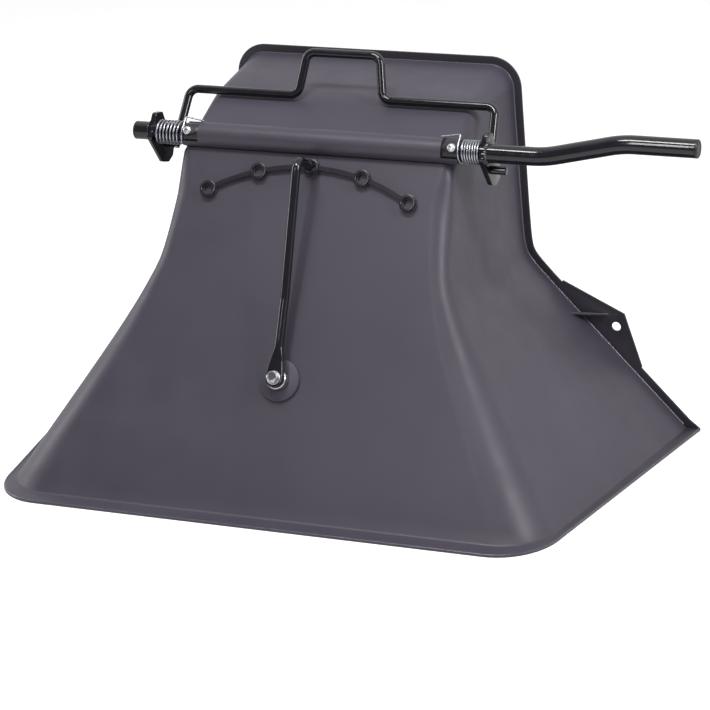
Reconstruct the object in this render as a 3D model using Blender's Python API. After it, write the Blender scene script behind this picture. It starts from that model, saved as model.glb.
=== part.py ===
"""Discharge deflector of a ride-on mower: a moulded hood with a pivot tube, latch plates, a pull bail,
two torsion springs and an adjusting lever that turns a guide vane inside the hood.

Body frame: X to the right, Y to the back, Z up. X = 0 is the hood's middle plane, Y = 0 the back face of
the flange that meets the mower, and Z = 0 the plane of the bottom lip. All lengths are in metres.
"""

import math

import bmesh
import bpy
from mathutils import Matrix, Vector

CLEARANCE = 0.0003

# Hood, outer faces
HALF_WIDTH = 0.4190
LIP_REAR_WIDTH = 0.0140
LIP_CORNER_WIDTH = 0.0075
LIP_FRONT_WIDTH = 0.0240
LIP_THICKNESS = 0.0030
LIP_FILLET = 0.0080
FLANGE_WIDTH = 0.0102
FLANGE_THICKNESS = 0.0030
WALL = 0.0030
ROOF_HEIGHT = 0.4600
ROOF_SLOPE = math.radians(10.5)
ROOF_BREAK_DEPTH = 0.1115
ROOF_FRONT_SLOPE = math.radians(25.9)
ROOF_BREAK_SOFTNESS = 0.0100
PANEL_FOOT = 0.4312
PANEL_LEAN = math.radians(29.3)
REAR_BEND_HEIGHT = 0.2180
REAR_BEND_HALF_WIDTH = 0.1905
REAR_TOP_HALF_WIDTH = 0.1810
REAR_BEND_SOFTNESS = 0.0120
FRONT_BEND_HEIGHT = 0.2620
FRONT_BEND_HALF_WIDTH = 0.1845
FRONT_TOP_HALF_WIDTH = 0.1740
FRONT_TOP_HEIGHT = 0.4056
FRONT_FOOT_HALF_WIDTH = 0.3450
FRONT_BEND_SOFTNESS = 0.0220

# How far the rounded corner between side and roof or panel reaches, at fan angles from the back plane
CORNER_REACH = (
    (0, 0.028),
    (12, 0.018),
    (20, 0.014),
    (29, 0.012),
    (34, 0.024),
    (43, 0.020),
    (49, 0.021),
    (60, 0.034),
    (70, 0.040),
    (80, 0.044),
    (90, 0.055),
)
FLARE_STEPS = (0.0, 0.07, 0.27, 0.5, 0.75)
BEND_STEPS = 5
UPPER_STEPS = 3
CORNER_STEPS = 6
FLAT_STEPS = 2
ROOF_ROWS = 6
PANEL_ROWS = 15

# Side lugs in the flange's plane, with their gussets
LUG_HOLE_X = 0.3108
LUG_HOLE_Z = 0.1297
LUG_HOLE_RADIUS = 0.0060
LUG_TOP_X = 0.2410
LUG_TOP_Z = 0.1850
LUG_CORNER_X = 0.3215
LUG_CORNER_Z = 0.1470
LUG_FOOT_X = 0.3440
LUG_FOOT_Z = 0.0785
LUG_ROOT_DEPTH = 0.0090
GUSSET_TIP_X = 0.3020
GUSSET_TIP_Z = 0.1450
GUSSET_FRONT = 0.0240
GUSSET_UPPER_Z = 0.1500
GUSSET_LOWER_Z = 0.1305

# Pivot tube with its crank. Its axis is placed from the crease between roof and panel.
AXIS_UP = 0.01683
AXIS_PROUD = 0.00106
TUBE_RADIUS = 0.01125
TUBE_WALL = 0.0020
TUBE_LEFT_END = 0.2387
TUBE_RIGHT_END = 0.4750
CRANK_START = 0.2910
CRANK_END = 0.3865
CRANK_RISE = 0.0220
CRANK_BEND_RADIUS = 0.1400
PLUG_HEAD = 0.0027
PLUG_SHANK = 0.0140

# Half-round channel that covers the tube, and the pockets at its ends. Its middle, from which the pockets,
# bushes and springs are measured, lies a little to the right of the hood's.
CHANNEL_OFFSET = 0.0070
CHANNEL_RADIUS = 0.0155
CHANNEL_BORE_CLEARANCE = 0.0009
CHANNEL_HALF_LENGTH = 0.1585
CRADLE_HALF_LENGTH = 0.1790
POCKET_LOWER = 0.0118
POCKET_UPPER = 0.0210
POCKET_FLOOR = 0.0005

# Bearing bushes and their screws
BUSH_RADIUS = 0.0132
BUSH_OUTER_END = 0.1782
BUSH_BOSS_HEIGHT = 0.0150
BUSH_BOSS_RADIUS = 0.0058
SCREW_X = 0.1722
SCREW_HEAD_RADIUS = 0.0053
SCREW_HEAD_HEIGHT = 0.0034
SCREW_SHANK_RADIUS = 0.0020
SCREW_SHANK_END = 0.0117

# Torsion springs. The right one is pressed a little shorter by its latch plate.
SPRING_WIRE_RADIUS = 0.0010
SPRING_MEAN_RADIUS = 0.0140
SPRING_TURNS = 7
SPRING_INNER_END = 0.1795
LEFT_SPRING_OUTER_END = 0.2155
RIGHT_SPRING_OUTER_END = 0.2052
FIRST_TURN_EXTRA = 0.0022
SPRING_LEG_RISE = 0.0154
SPRING_LEG_OVERLAP = 0.0035
SPRING_TAIL = 0.0130

# Latch plates and the peg on the right one
PLATE_INNER_FACE = 0.2135
PLATE_THICKNESS = 0.0060
PLATE_CORNERS = (
    (0.0030, 0.0225),
    (0.0195, 0.0200),
    (0.0280, 0.0030),
    (0.0450, -0.0325),
    (0.0410, -0.0420),
    (0.0285, -0.0470),
    (0.0145, -0.0435),
    (-0.0165, -0.0045),
)
PLATE_CORNER_RADIUS = 0.0050
PEG_RADIUS = 0.0052
PEG_LENGTH = 0.0195
PEG_BACK = 0.0112
PEG_DROP = 0.0234

# Pull bail, a bent rod, measured from the tube's axis
BAIL_RADIUS = 0.00535
BAIL_FOOT_BACK = 0.0370
BAIL_FOOT_DROP = 0.0300
BAIL_CORNER_X = 0.2025
BAIL_BAR_BACK = 0.0800
BAIL_BAR_RISE = 0.0345
BAIL_GRIP_FOOT_X = 0.0560
BAIL_GRIP_TOP_X = 0.0480
BAIL_GRIP_BACK = 0.0970
BAIL_GRIP_RISE = 0.0850
BAIL_BEND_RADIUS = 0.0120

# Lever's pivot on the panel, and the arc of bosses round it, whose top lies below the tube's axis
ARC_DROP = 0.0330
PAD_RADIUS = 0.0257
PAD_HEIGHT = 0.0040
BOSS_ARC_RADIUS = 0.2609
BOSS_STEP = math.radians(15)
BOSS_COUNT = 5
BOSS_RADIUS = 0.0105
BOSS_BORE_RADIUS = 0.0072
BOSS_HEIGHT = 0.0080
BOSS_FLOOR = 0.0004
RIB_WIDTH = 0.0055
RIB_HEIGHT = 0.0060
RIB_STEPS = 4

# Lever, its bolt and what the bolt clamps
BOLT_RADIUS = 0.0040
BOLT_HOLE_CLEARANCE = 0.0005
BOLT_HEAD_FLATS = 0.0130
BOLT_HEAD_HEIGHT = 0.0053
BOLT_TAIL = 0.0045
SPACER_RADIUS = 0.0125
SPACER_HEIGHT = 0.0102
EYE_RADIUS = 0.0110
EYE_THICKNESS = 0.0055
EYE_NECK = 0.0360
LEVER_RADIUS = 0.0055
LEVER_KNEE_UP = 0.0950
LEVER_KNEE_HEIGHT = 0.0235
LEVER_TOP_HEIGHT = 0.0505
LEVER_BEND_RADIUS = 0.0120
LEVER_TIP_CLEARANCE = 0.0004
WASHER_RADIUS = 0.0085
WASHER_THICKNESS = 0.0016
NUT_HEIGHT = 0.0080

# Guide vane inside the hood
VANE_BASE_WIDTH = 0.0440
VANE_BASE_THICKNESS = 0.0040
VANE_UP = 0.1500
VANE_DOWN = 0.0700
VANE_DEPTH = 0.0850
VANE_THICKNESS = 0.0040
VANE_NOTCH_HALF = 0.0120
VANE_NOTCH_DEPTH = 0.0300

ROUND_SIDES = 32
ROD_SIDES = 20
WIRE_SIDES = 6


def clear_scene():
    for item in list(bpy.data.objects):
        bpy.data.objects.remove(item, do_unlink=True)


def material(name, colour, roughness, metallic):
    made = bpy.data.materials.new(name)
    made.use_nodes = True
    shader = made.node_tree.nodes["Principled BSDF"]
    shader.inputs["Base Color"].default_value = (*colour, 1.0)
    shader.inputs["Roughness"].default_value = roughness
    shader.inputs["Metallic"].default_value = metallic
    made.diffuse_color = (*colour, 1.0)
    return made


def hood_plastic():
    return material("hood_plastic", (0.085, 0.077, 0.093), 0.45, 0.0)


def black_plastic():
    return material("black_plastic", (0.012, 0.012, 0.013), 0.40, 0.0)


def black_paint():
    return material("black_paint", (0.012, 0.012, 0.014), 0.22, 0.3)


def zinc():
    return material("zinc", (0.70, 0.71, 0.73), 0.25, 1.0)


def spring_steel():
    return material("spring_steel", (0.62, 0.64, 0.66), 0.28, 1.0)


def vane_plastic():
    return material("vane_plastic", (0.030, 0.029, 0.033), 0.50, 0.0)


def mesh_object(name, pieces, surface=None, parent=None, place=None):
    """One object from a list of (points, faces) solids that don't touch each other."""
    mesh = bpy.data.meshes.new(name)
    shape = bmesh.new()
    for points, faces in pieces:
        corners = [shape.verts.new(point) for point in points]
        for face in faces:
            shape.faces.new([corners[index] for index in face])
    bmesh.ops.remove_doubles(shape, verts=shape.verts, dist=1e-7)
    bmesh.ops.recalc_face_normals(shape, faces=shape.faces)
    shape.to_mesh(mesh)
    shape.free()
    mesh.shade_smooth()
    mesh.set_sharp_from_angle(angle=math.radians(32))
    made = bpy.data.objects.new(name, mesh)
    bpy.context.scene.collection.objects.link(made)
    if surface:
        mesh.materials.append(surface)
    if parent:
        made.parent = parent
    if place:
        made.matrix_local = place
    return made


def empty(name, parent=None, place=None):
    made = bpy.data.objects.new(name, None)
    made.empty_display_size = 0.05
    bpy.context.scene.collection.objects.link(made)
    if parent:
        made.parent = parent
    if place:
        made.matrix_local = place
    return made


def helper(made):
    made.hide_render = True
    made.display_type = "WIRE"
    return made


def boolean(target, other, operation):
    change = target.modifiers.new(f"{operation.lower()}_{other.name}", "BOOLEAN")
    change.operation = operation
    change.solver = "EXACT"
    change.object = other


def turned(profile, sides=ROUND_SIDES):
    """A solid of revolution round local Z. The profile holds (radius, height) and is a closed outline,
    unless it starts and ends on the axis."""
    points = []
    faces = []
    rings = []
    for radius, height in profile:
        if radius == 0:
            rings.append([len(points)] * sides)
            points.append((0.0, 0.0, height))
            continue
        rings.append(list(range(len(points), len(points) + sides)))
        for step in range(sides):
            angle = 2 * math.pi * step / sides
            points.append((radius * math.cos(angle), radius * math.sin(angle), height))
    count = len(profile)
    closed = profile[0][0] > 0
    for ring in range(count if closed else count - 1):
        first = rings[ring]
        second = rings[(ring + 1) % count]
        for step in range(sides):
            after = (step + 1) % sides
            corners = [first[step], first[after], second[after], second[step]]
            face = [corner for place, corner in enumerate(corners) if corner not in corners[:place]]
            if len(face) > 2:
                faces.append(face)
    return points, faces


def cylinder(radius, low, high, sides=ROUND_SIDES):
    return turned([(0, low), (radius, low), (radius, high), (0, high)], sides)


def collar(bore, radius, low, high, sides=ROUND_SIDES):
    return turned([(bore, low), (radius, low), (radius, high), (bore, high)], sides)


def prism(outline, low, high):
    """An outline in local XY, drawn out along Z."""
    count = len(outline)
    points = [(x, y, low) for x, y in outline] + [(x, y, high) for x, y in outline]
    faces = [list(range(count)), list(range(count, 2 * count))]
    for step in range(count):
        after = (step + 1) % count
        faces.append([step, after, after + count, step + count])
    return points, faces


def moved(solid, matrix):
    points, faces = solid
    return [matrix @ Vector(point) for point in points], faces


def rounded(corners, radius, steps, closed=True):
    """The corners as vectors, each inner one replaced by an arc of the radius."""
    corners = [Vector(corner) for corner in corners]
    count = len(corners)
    path = []
    for place, corner in enumerate(corners):
        if not closed and place in (0, count - 1):
            path.append(corner)
            continue
        back = (corners[place - 1] - corner).normalized()
        ahead = (corners[(place + 1) % count] - corner).normalized()
        half = back.angle(ahead) / 2
        reach = radius / math.tan(half)
        middle = corner + (back + ahead).normalized() * (radius / math.sin(half))
        start = corner + back * reach - middle
        end = corner + ahead * reach - middle
        turn = start.angle(end)
        for step in range(steps + 1):
            share = step / steps
            blend = start * math.sin((1 - share) * turn) + end * math.sin(share * turn)
            path.append(middle + blend / math.sin(turn))
    return path


def frames_along(path):
    """A pair of cross directions at each point, carried along without twist."""
    tangents = []
    for place in range(len(path)):
        before = path[max(place - 1, 0)]
        after = path[min(place + 1, len(path) - 1)]
        tangents.append((after - before).normalized())
    guide = Vector((0, 0, 1)) if abs(tangents[0].z) < 0.9 else Vector((1, 0, 0))
    side = tangents[0].cross(guide).normalized()
    frames = []
    for tangent in tangents:
        side = (side - tangent * side.dot(tangent)).normalized()
        frames.append((side, tangent.cross(side)))
    return frames


def rings_along(path, radius, sides):
    points = []
    for centre, (side, up) in zip(path, frames_along(path)):
        for step in range(sides):
            angle = 2 * math.pi * step / sides
            points.append(centre + side * (radius * math.cos(angle)) + up * (radius * math.sin(angle)))
    return points


def ring_walls(count, sides, start=0):
    faces = []
    for ring in range(count - 1):
        for step in range(sides):
            after = (step + 1) % sides
            low = start + ring * sides
            high = low + sides
            faces.append([low + step, low + after, high + after, high + step])
    return faces


def rod(path, radius, sides=ROD_SIDES):
    """A solid round bar along the path."""
    points = rings_along(path, radius, sides)
    faces = ring_walls(len(path), sides)
    faces.append(list(range(sides)))
    faces.append(list(range(len(points) - sides, len(points))))
    return points, faces


def pipe(path, radius, wall, sides=ROD_SIDES):
    """A round tube along the path, open at both ends."""
    outside = rings_along(path, radius, sides)
    inside = rings_along(path, radius - wall, sides)
    shift = len(outside)
    faces = ring_walls(len(path), sides) + ring_walls(len(path), sides, shift)
    last = shift - sides
    for step in range(sides):
        after = (step + 1) % sides
        faces.append([step, after, after + shift, step + shift])
        faces.append([last + step, last + after, last + after + shift, last + step + shift])
    return outside + inside, faces


def along_x(x=0.0):
    """Turns local Z to +X and moves to the given x."""
    return Matrix.Translation((x, 0, 0)) @ Matrix.Rotation(math.radians(90), 4, "Y")


def hexagon(flats):
    radius = flats / math.sqrt(3)
    return [
        (radius * math.cos(math.radians(60 * step)), radius * math.sin(math.radians(60 * step)))
        for step in range(6)
    ]


def reach_at(angle):
    degrees = math.degrees(angle)
    for (low, first), (high, second) in zip(CORNER_REACH, CORNER_REACH[1:]):
        if degrees <= high:
            return first + (second - first) * max(degrees - low, 0) / (high - low)
    return CORNER_REACH[-1][1]


def soft_positive(value, softness):
    """Zero below zero and the value above it, with a rounded change between."""
    return (value + math.hypot(value, softness)) / 2


def side_profile(height, top_height, top, bend_height, bend, foot, softness):
    """Half-width against height: a steep upper wall, a soft bend and a flare down to the foot."""
    upper_slope = (bend - top) / (top_height - bend_height)
    flare_slope = (foot - bend) / bend_height - upper_slope
    upper = bend + upper_slope * (bend_height - height)
    return upper + flare_slope * soft_positive(bend_height - height, softness)


def panel_depth(height):
    return -PANEL_FOOT + height * math.tan(PANEL_LEAN)


def side_half_width(y, z):
    """Outer face of the side wall. It blends from the back profile to the one at the panel."""
    share = min(max(y / panel_depth(z), 0.0), 1.0)
    rear = side_profile(
        z,
        ROOF_HEIGHT,
        REAR_TOP_HALF_WIDTH,
        REAR_BEND_HEIGHT,
        REAR_BEND_HALF_WIDTH,
        HALF_WIDTH - LIP_REAR_WIDTH,
        REAR_BEND_SOFTNESS,
    )
    front = side_profile(
        z,
        FRONT_TOP_HEIGHT,
        FRONT_TOP_HALF_WIDTH,
        FRONT_BEND_HEIGHT,
        FRONT_BEND_HALF_WIDTH,
        FRONT_FOOT_HALF_WIDTH,
        FRONT_BEND_SOFTNESS,
    )
    return rear + (front - rear) * share


def side_wall_x(y, z, inset):
    """The side wall's face, moved in by the inset at right angles to its slope."""
    step = 0.001
    slope = (side_half_width(y, z + step) - side_half_width(y, z - step)) / (2 * step)
    return side_half_width(y, z) - inset * math.hypot(1, slope)


def roof_height(depth, inset):
    """Height of the roof this far in front of the back plane. It falls faster beyond its break."""
    extra = math.tan(ROOF_FRONT_SLOPE) - math.tan(ROOF_SLOPE)
    fall = depth * math.tan(ROOF_SLOPE) + extra * soft_positive(depth - ROOF_BREAK_DEPTH, ROOF_BREAK_SOFTNESS)
    return ROOF_HEIGHT - fall - inset / math.cos(ROOF_SLOPE)


def where_it_turns_positive(value_at, low, high):
    """The place between low and high where a rising value passes zero."""
    for _ in range(40):
        middle = (low + high) / 2
        if value_at(middle) < 0:
            low = middle
        else:
            high = middle
    return high


def roof_distance(angle, inset):
    def above_roof(distance):
        return distance * math.cos(angle) - roof_height(distance * math.sin(angle), inset)

    return where_it_turns_positive(above_roof, 0, 2 * ROOF_HEIGHT)


def panel_distance(angle, inset):
    foot = PANEL_FOOT - inset / math.cos(PANEL_LEAN)
    return foot / (math.sin(angle) + math.tan(PANEL_LEAN) * math.cos(angle))


def crease_angle(inset):
    """Fan angle where the roof meets the panel."""

    def roof_beyond_panel(angle):
        return roof_distance(angle, inset) - panel_distance(angle, inset)

    return where_it_turns_positive(roof_beyond_panel, 0, math.pi / 3)


def fan_columns(angle, inset):
    """Half of the hood's section in the plane through the line Y = Z = 0 at this angle from the back plane,
    as (x, distance) from the bottom corner up the side, round the corner and to the middle."""
    top = min(roof_distance(angle, inset), panel_distance(angle, inset))
    reach = max(reach_at(angle) - inset, 0.004)
    end = top - reach

    def wall(distance):
        return side_wall_x(-distance * math.sin(angle), distance * math.cos(angle), inset)

    share = min(angle / math.radians(45), 1.0)
    bend_height = REAR_BEND_HEIGHT + (FRONT_BEND_HEIGHT - REAR_BEND_HEIGHT) * share
    bend = bend_height / max(math.cos(angle), 0.1)
    low = min(0.86 * bend, 0.80 * end)
    high = min(1.16 * bend, 0.93 * end)
    distances = [low * step for step in FLARE_STEPS]
    distances += [low + (high - low) * step / BEND_STEPS for step in range(BEND_STEPS)]
    distances += [high + (end - high) * step / UPPER_STEPS for step in range(UPPER_STEPS)]
    columns = [(wall(distance), distance) for distance in distances]
    slope = (wall(end + 0.001) - wall(end - 0.001)) / 0.002
    start = Vector((wall(end), end))
    corner = Vector((wall(end) + slope * reach, top))
    finish = Vector((corner.x - reach, top))
    turn = (corner - start).angle(finish - corner)
    weight = math.cos(turn / 2)
    for step in range(CORNER_STEPS + 1):
        share = step / CORNER_STEPS
        first = (1 - share) ** 2
        second = 2 * share * (1 - share) * weight
        third = share**2
        point = (start * first + corner * second + finish * third) / (first + second + third)
        columns.append((point.x, point.y))
    for step in range(1, FLAT_STEPS + 1):
        columns.append((finish.x * (1 - step / FLAT_STEPS), top))
    return columns


def fan_point(column, angle, inset):
    x, distance = fan_columns(angle, inset)[column]
    return Vector((x, -distance * math.sin(angle), distance * math.cos(angle)))


def angle_at_depth(column, depth):
    """Fan angle at which a column of the outer face is this far in front of the back plane."""
    angle = 0.02
    for _ in range(8):
        distance = fan_columns(angle, 0)[column][1]
        angle = math.asin(min(depth / distance, 0.9))
    return angle


def angle_at_height(column, height):
    """Fan angle at which a column of the outer face is this high."""
    angle = math.radians(85)
    for _ in range(8):
        distance = fan_columns(angle, 0)[column][1]
        angle = math.acos(min(height / distance, 0.9))
    return angle


def outward_normals(points, first_axis, second_axis):
    """Unit normals, in the plane of the two axes, of half an outline that runs from its foot to the middle."""
    normals = []
    for place in range(len(points)):
        before = points[max(place - 1, 0)]
        after = points[min(place + 1, len(points) - 1)]
        run = after - before
        normal = Vector((0.0, 0.0, 0.0))
        normal[first_axis] = abs(run[second_axis])
        normal[second_axis] = math.copysign(abs(run[first_axis]), points[-1][second_axis])
        if place == len(points) - 1:
            normal[first_axis] = 0
        normals.append(normal.normalized())
    return normals


def hood_rows():
    """Rows of points for the right half, as one closed loop of rows round the shell's edge: flange, outer
    face, lip, inner face. Each row runs from the bottom corner to the middle plane."""
    count = len(fan_columns(0.1, 0))
    rear_edge = [fan_point(column, 0.0, 0) for column in range(count)]
    foot_edge = [fan_point(column, math.pi / 2, 0) for column in range(count)]
    rear_normals = outward_normals(rear_edge, 0, 2)
    foot_normals = outward_normals(foot_edge, 0, 1)
    crease = crease_angle(0)
    inner_crease = crease_angle(WALL)
    pole = Vector((side_half_width(-FLANGE_THICKNESS, LIP_THICKNESS), -FLANGE_THICKNESS, LIP_THICKNESS))
    columns = []
    for column in range(count):
        if column == 0:
            tip = HALF_WIDTH
            loop = [Vector((tip, 0, LIP_THICKNESS)), Vector((tip, -FLANGE_THICKNESS, LIP_THICKNESS))]
            loop += [pole.copy() for _ in range(ROOF_ROWS + PANEL_ROWS + 3)]
            loop.append(Vector((tip, -FLANGE_THICKNESS, LIP_THICKNESS)))
            loop.append(Vector((tip, -FLANGE_THICKNESS, 0)))
            inner = Vector((side_wall_x(0, 0, WALL), 0, 0))
            loop += [inner.copy() for _ in range(ROOF_ROWS + PANEL_ROWS + 1)]
            columns.append(loop)
            continue
        tip = rear_edge[column] + rear_normals[column] * FLANGE_WIDTH
        loop = [Vector((tip.x, 0, tip.z)), Vector((tip.x, -FLANGE_THICKNESS, tip.z))]
        normal = foot_normals[column]
        side = LIP_REAR_WIDTH + (LIP_CORNER_WIDTH - LIP_REAR_WIDTH) * abs(foot_edge[column].y) / PANEL_FOOT
        width = side + (LIP_FRONT_WIDTH - side) * normal.y**2
        fillet = min(LIP_FILLET, 0.6 * width, 0.35 * abs(foot_edge[column].y))
        start = angle_at_depth(column, FLANGE_THICKNESS)
        finish = angle_at_height(column, LIP_THICKNESS + fillet)
        for row in range(ROOF_ROWS):
            loop.append(fan_point(column, start + (crease - start) * row / ROOF_ROWS, 0))
        loop[2].y = -FLANGE_THICKNESS
        for row in range(PANEL_ROWS + 1):
            loop.append(fan_point(column, crease + (finish - crease) * row / PANEL_ROWS, 0))
        middle = fan_point(column, angle_at_height(column, LIP_THICKNESS + 0.3 * fillet), 0)
        loop.append(middle + normal * (0.3 * fillet))
        root = fan_point(column, angle_at_height(column, LIP_THICKNESS), 0) + normal * fillet
        loop.append(Vector((root.x, root.y, LIP_THICKNESS)))
        edge = foot_edge[column] + normal * width
        loop.append(Vector((edge.x, edge.y, LIP_THICKNESS)))
        loop.append(Vector((edge.x, edge.y, 0)))
        for row in range(PANEL_ROWS):
            angle = math.pi / 2 + (inner_crease - math.pi / 2) * row / PANEL_ROWS
            loop.append(fan_point(column, angle, WALL))
        for row in range(ROOF_ROWS + 1):
            loop.append(fan_point(column, inner_crease * (1 - row / ROOF_ROWS), WALL))
        loop[-1].y = 0
        loop[-PANEL_ROWS - ROOF_ROWS - 1].z = 0
        columns.append(loop)
    return columns


def hood_shell():
    """The shell with its flange and lip, as one closed mesh. Its two bottom corners end in a small square."""
    half = hood_rows()
    mirrored = [[Vector((-point.x, point.y, point.z)) for point in loop] for loop in reversed(half[:-1])]
    columns = half + mirrored
    rows = len(half[0])
    points = [point for loop in columns for point in loop]
    lip_bottom = ROOF_ROWS + PANEL_ROWS + 6
    faces = []
    for column in range(len(columns) - 1):
        at_end = column in (0, len(columns) - 2)
        for row in range(rows):
            after = (row + 1) % rows
            if at_end and row in (lip_bottom, rows - 1):
                continue
            here = column * rows
            there = here + rows
            faces.append([here + row, here + after, there + after, there + row])
    for column, inward in ((0, 1), (len(columns) - 1, -1)):
        here = column * rows
        there = here + inward * rows
        corner = len(points)
        points.append(Vector((columns[column][0].x, 0, 0)))
        inner = here + rows - 1
        faces.append([here + lip_bottom, there + lip_bottom, there + lip_bottom + 1, inner, corner])
        faces.append([here, there, there + rows - 1, inner, corner])
        faces.append([here, here + 1, here + lip_bottom, corner])
    kept = []
    places = {}
    index = []
    for point in points:
        key = tuple(round(value, 7) for value in point)
        if key not in places:
            places[key] = len(kept)
            kept.append(point)
        index.append(places[key])
    clean = []
    for face in faces:
        corners = []
        for corner in face:
            if index[corner] not in corners:
                corners.append(index[corner])
        if len(corners) > 2:
            clean.append(corners)
    return kept, clean


def crease_place():
    """Frame on the middle of the crease between roof and panel: X across, Y up the panel, Z out of it."""
    angle = crease_angle(0)
    distance = panel_distance(angle, 0)
    turn = Matrix.Rotation(math.radians(90) - PANEL_LEAN, 4, "X")
    return Matrix.Translation((0, -distance * math.sin(angle), distance * math.cos(angle))) @ turn


def panel_place():
    """The lever's frame: as the crease's, with its origin at the pivot on the panel's outer face."""
    return crease_place() @ Matrix.Translation((0, AXIS_UP - ARC_DROP - BOSS_ARC_RADIUS, 0))


def axis_place():
    """The tube's frame: origin in the middle of its axis, and no turn."""
    return Matrix.Translation(crease_place() @ Vector((0, AXIS_UP, AXIS_PROUD)))


def channel_place():
    """The tube's axis, with its origin in the middle of the channel."""
    return axis_place() @ Matrix.Translation((CHANNEL_OFFSET, 0, 0))


def boss_place(number):
    turn = BOSS_STEP * (number - (BOSS_COUNT - 1) / 2)
    return panel_place() @ Matrix.Rotation(-turn, 4, "Z") @ Matrix.Translation((0, BOSS_ARC_RADIUS, 0))


def channel():
    """The outside of the channel and of the cradles that go on from it under the bushes."""
    return moved(cylinder(CHANNEL_RADIUS, -CRADLE_HALF_LENGTH, CRADLE_HALF_LENGTH), channel_place() @ along_x())


def boss_rib(number):
    """One arc of rib from the middle of a boss to the middle of the next."""
    first = BOSS_STEP * (number - (BOSS_COUNT - 1) / 2)
    outer = []
    inner = []
    for step in range(RIB_STEPS + 1):
        angle = first + BOSS_STEP * step / RIB_STEPS
        trim = 0.5 * BOSS_BORE_RADIUS / BOSS_ARC_RADIUS
        angle = min(max(angle, first + trim), first + BOSS_STEP - trim)
        away = Vector((math.sin(angle), math.cos(angle)))
        outer.append(away * (BOSS_ARC_RADIUS + RIB_WIDTH / 2))
        inner.append(away * (BOSS_ARC_RADIUS - RIB_WIDTH / 2))
    outline = [tuple(point) for point in outer + inner[::-1]]
    return moved(prism(outline, -WALL / 2, RIB_HEIGHT), panel_place())


def back_plane_prism(outline, front, back):
    """An outline in X and Z, drawn out from the front depth to the back one."""
    turn = Matrix.Rotation(math.radians(90), 4, "X")
    return moved(prism(outline, -back, -front), turn)


def lug(side):
    corners = [
        (LUG_TOP_X, LUG_TOP_Z, 0),
        (LUG_CORNER_X, LUG_CORNER_Z, 0),
        (LUG_FOOT_X, LUG_FOOT_Z, 0),
        (LUG_FOOT_X - LUG_ROOT_DEPTH, LUG_FOOT_Z - 0.002, 0),
        (LUG_TOP_X - LUG_ROOT_DEPTH / 2, LUG_TOP_Z - LUG_ROOT_DEPTH, 0),
    ]
    outline = [(side * x, z) for x, z, _ in corners]
    return back_plane_prism(outline, -FLANGE_THICKNESS, 0)


def gusset(side):
    """A three-cornered gusset from the lug's front face to the flared side."""
    back = -FLANGE_THICKNESS / 2
    points = [Vector((side * GUSSET_TIP_X, back, GUSSET_TIP_Z))]
    for depth, height in ((GUSSET_FRONT, GUSSET_UPPER_Z), (GUSSET_FRONT, GUSSET_LOWER_Z)):
        points.append(Vector((side * (side_half_width(-depth, height) - WALL / 2), -depth, height)))
    middle = (GUSSET_UPPER_Z + GUSSET_LOWER_Z) / 2
    points.append(Vector((side * (side_half_width(back, middle) - WALL / 2), back, middle)))
    return points, [[0, 1, 2], [0, 1, 3], [1, 2, 3], [2, 0, 3]]


def channel_bore():
    """The tube's bore, wider in the pockets, where the bushes sit."""
    bore = TUBE_RADIUS + CHANNEL_BORE_CLEARANCE
    pocket = BUSH_RADIUS + CLEARANCE
    end = CRADLE_HALF_LENGTH + 0.03
    profile = [
        (0, -end),
        (pocket, -end),
        (pocket, -CHANNEL_HALF_LENGTH),
        (bore, -CHANNEL_HALF_LENGTH),
        (bore, CHANNEL_HALF_LENGTH),
        (pocket, CHANNEL_HALF_LENGTH),
        (pocket, end),
        (0, end),
    ]
    return moved(turned(profile), channel_place() @ along_x())


def pocket_opening(side):
    """Opens a pocket to the front and the top, above a low ledge."""
    near = CHANNEL_HALF_LENGTH
    far = CRADLE_HALF_LENGTH + 0.02
    outline = [
        (side * near, -POCKET_LOWER),
        (side * far, -POCKET_LOWER),
        (side * far, POCKET_UPPER),
        (side * near, POCKET_UPPER),
    ]
    turn = Matrix.Rotation(math.radians(90) - PANEL_LEAN, 4, "X")
    return moved(prism(outline, -POCKET_FLOOR, 2 * CHANNEL_RADIUS), channel_place() @ turn)


def boss_bore(number):
    return moved(cylinder(BOSS_BORE_RADIUS, BOSS_FLOOR, 2 * BOSS_HEIGHT, 20), boss_place(number))


def lug_hole(side):
    hole = cylinder(LUG_HOLE_RADIUS, -FLANGE_THICKNESS, 2 * FLANGE_THICKNESS, 20)
    turn = Matrix.Rotation(math.radians(90), 4, "X")
    return moved(hole, Matrix.Translation((side * LUG_HOLE_X, 0, LUG_HOLE_Z)) @ turn)


def bolt_hole():
    return moved(cylinder(BOLT_RADIUS + BOLT_HOLE_CLEARANCE, -0.02, 0.02, 20), panel_place())


def hood(body, surface):
    made = mesh_object("hood", [hood_shell()], surface, body)
    pad = moved(cylinder(PAD_RADIUS, -WALL / 2, PAD_HEIGHT), panel_place())
    bosses = [
        moved(cylinder(BOSS_RADIUS, -WALL / 2, BOSS_HEIGHT, 24), boss_place(number)) for number in range(BOSS_COUNT)
    ]
    ribs = [boss_rib(number) for number in range(BOSS_COUNT - 1)]
    solid_parts = [channel(), pad, lug(-1), lug(1)] + bosses
    additions = helper(mesh_object("hood_bosses", solid_parts, None, body))
    webs = helper(mesh_object("hood_webs", ribs + [gusset(-1), gusset(1)], None, body))
    bores = [channel_bore(), bolt_hole(), lug_hole(-1), lug_hole(1)]
    bores += [boss_bore(number) for number in range(BOSS_COUNT)]
    holes = helper(mesh_object("hood_holes", bores, None, body))
    pockets = helper(mesh_object("hood_pockets", [pocket_opening(-1), pocket_opening(1)], None, body))
    boolean(made, additions, "UNION")
    boolean(made, webs, "UNION")
    boolean(made, pockets, "DIFFERENCE")
    boolean(made, holes, "DIFFERENCE")
    return made


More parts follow.
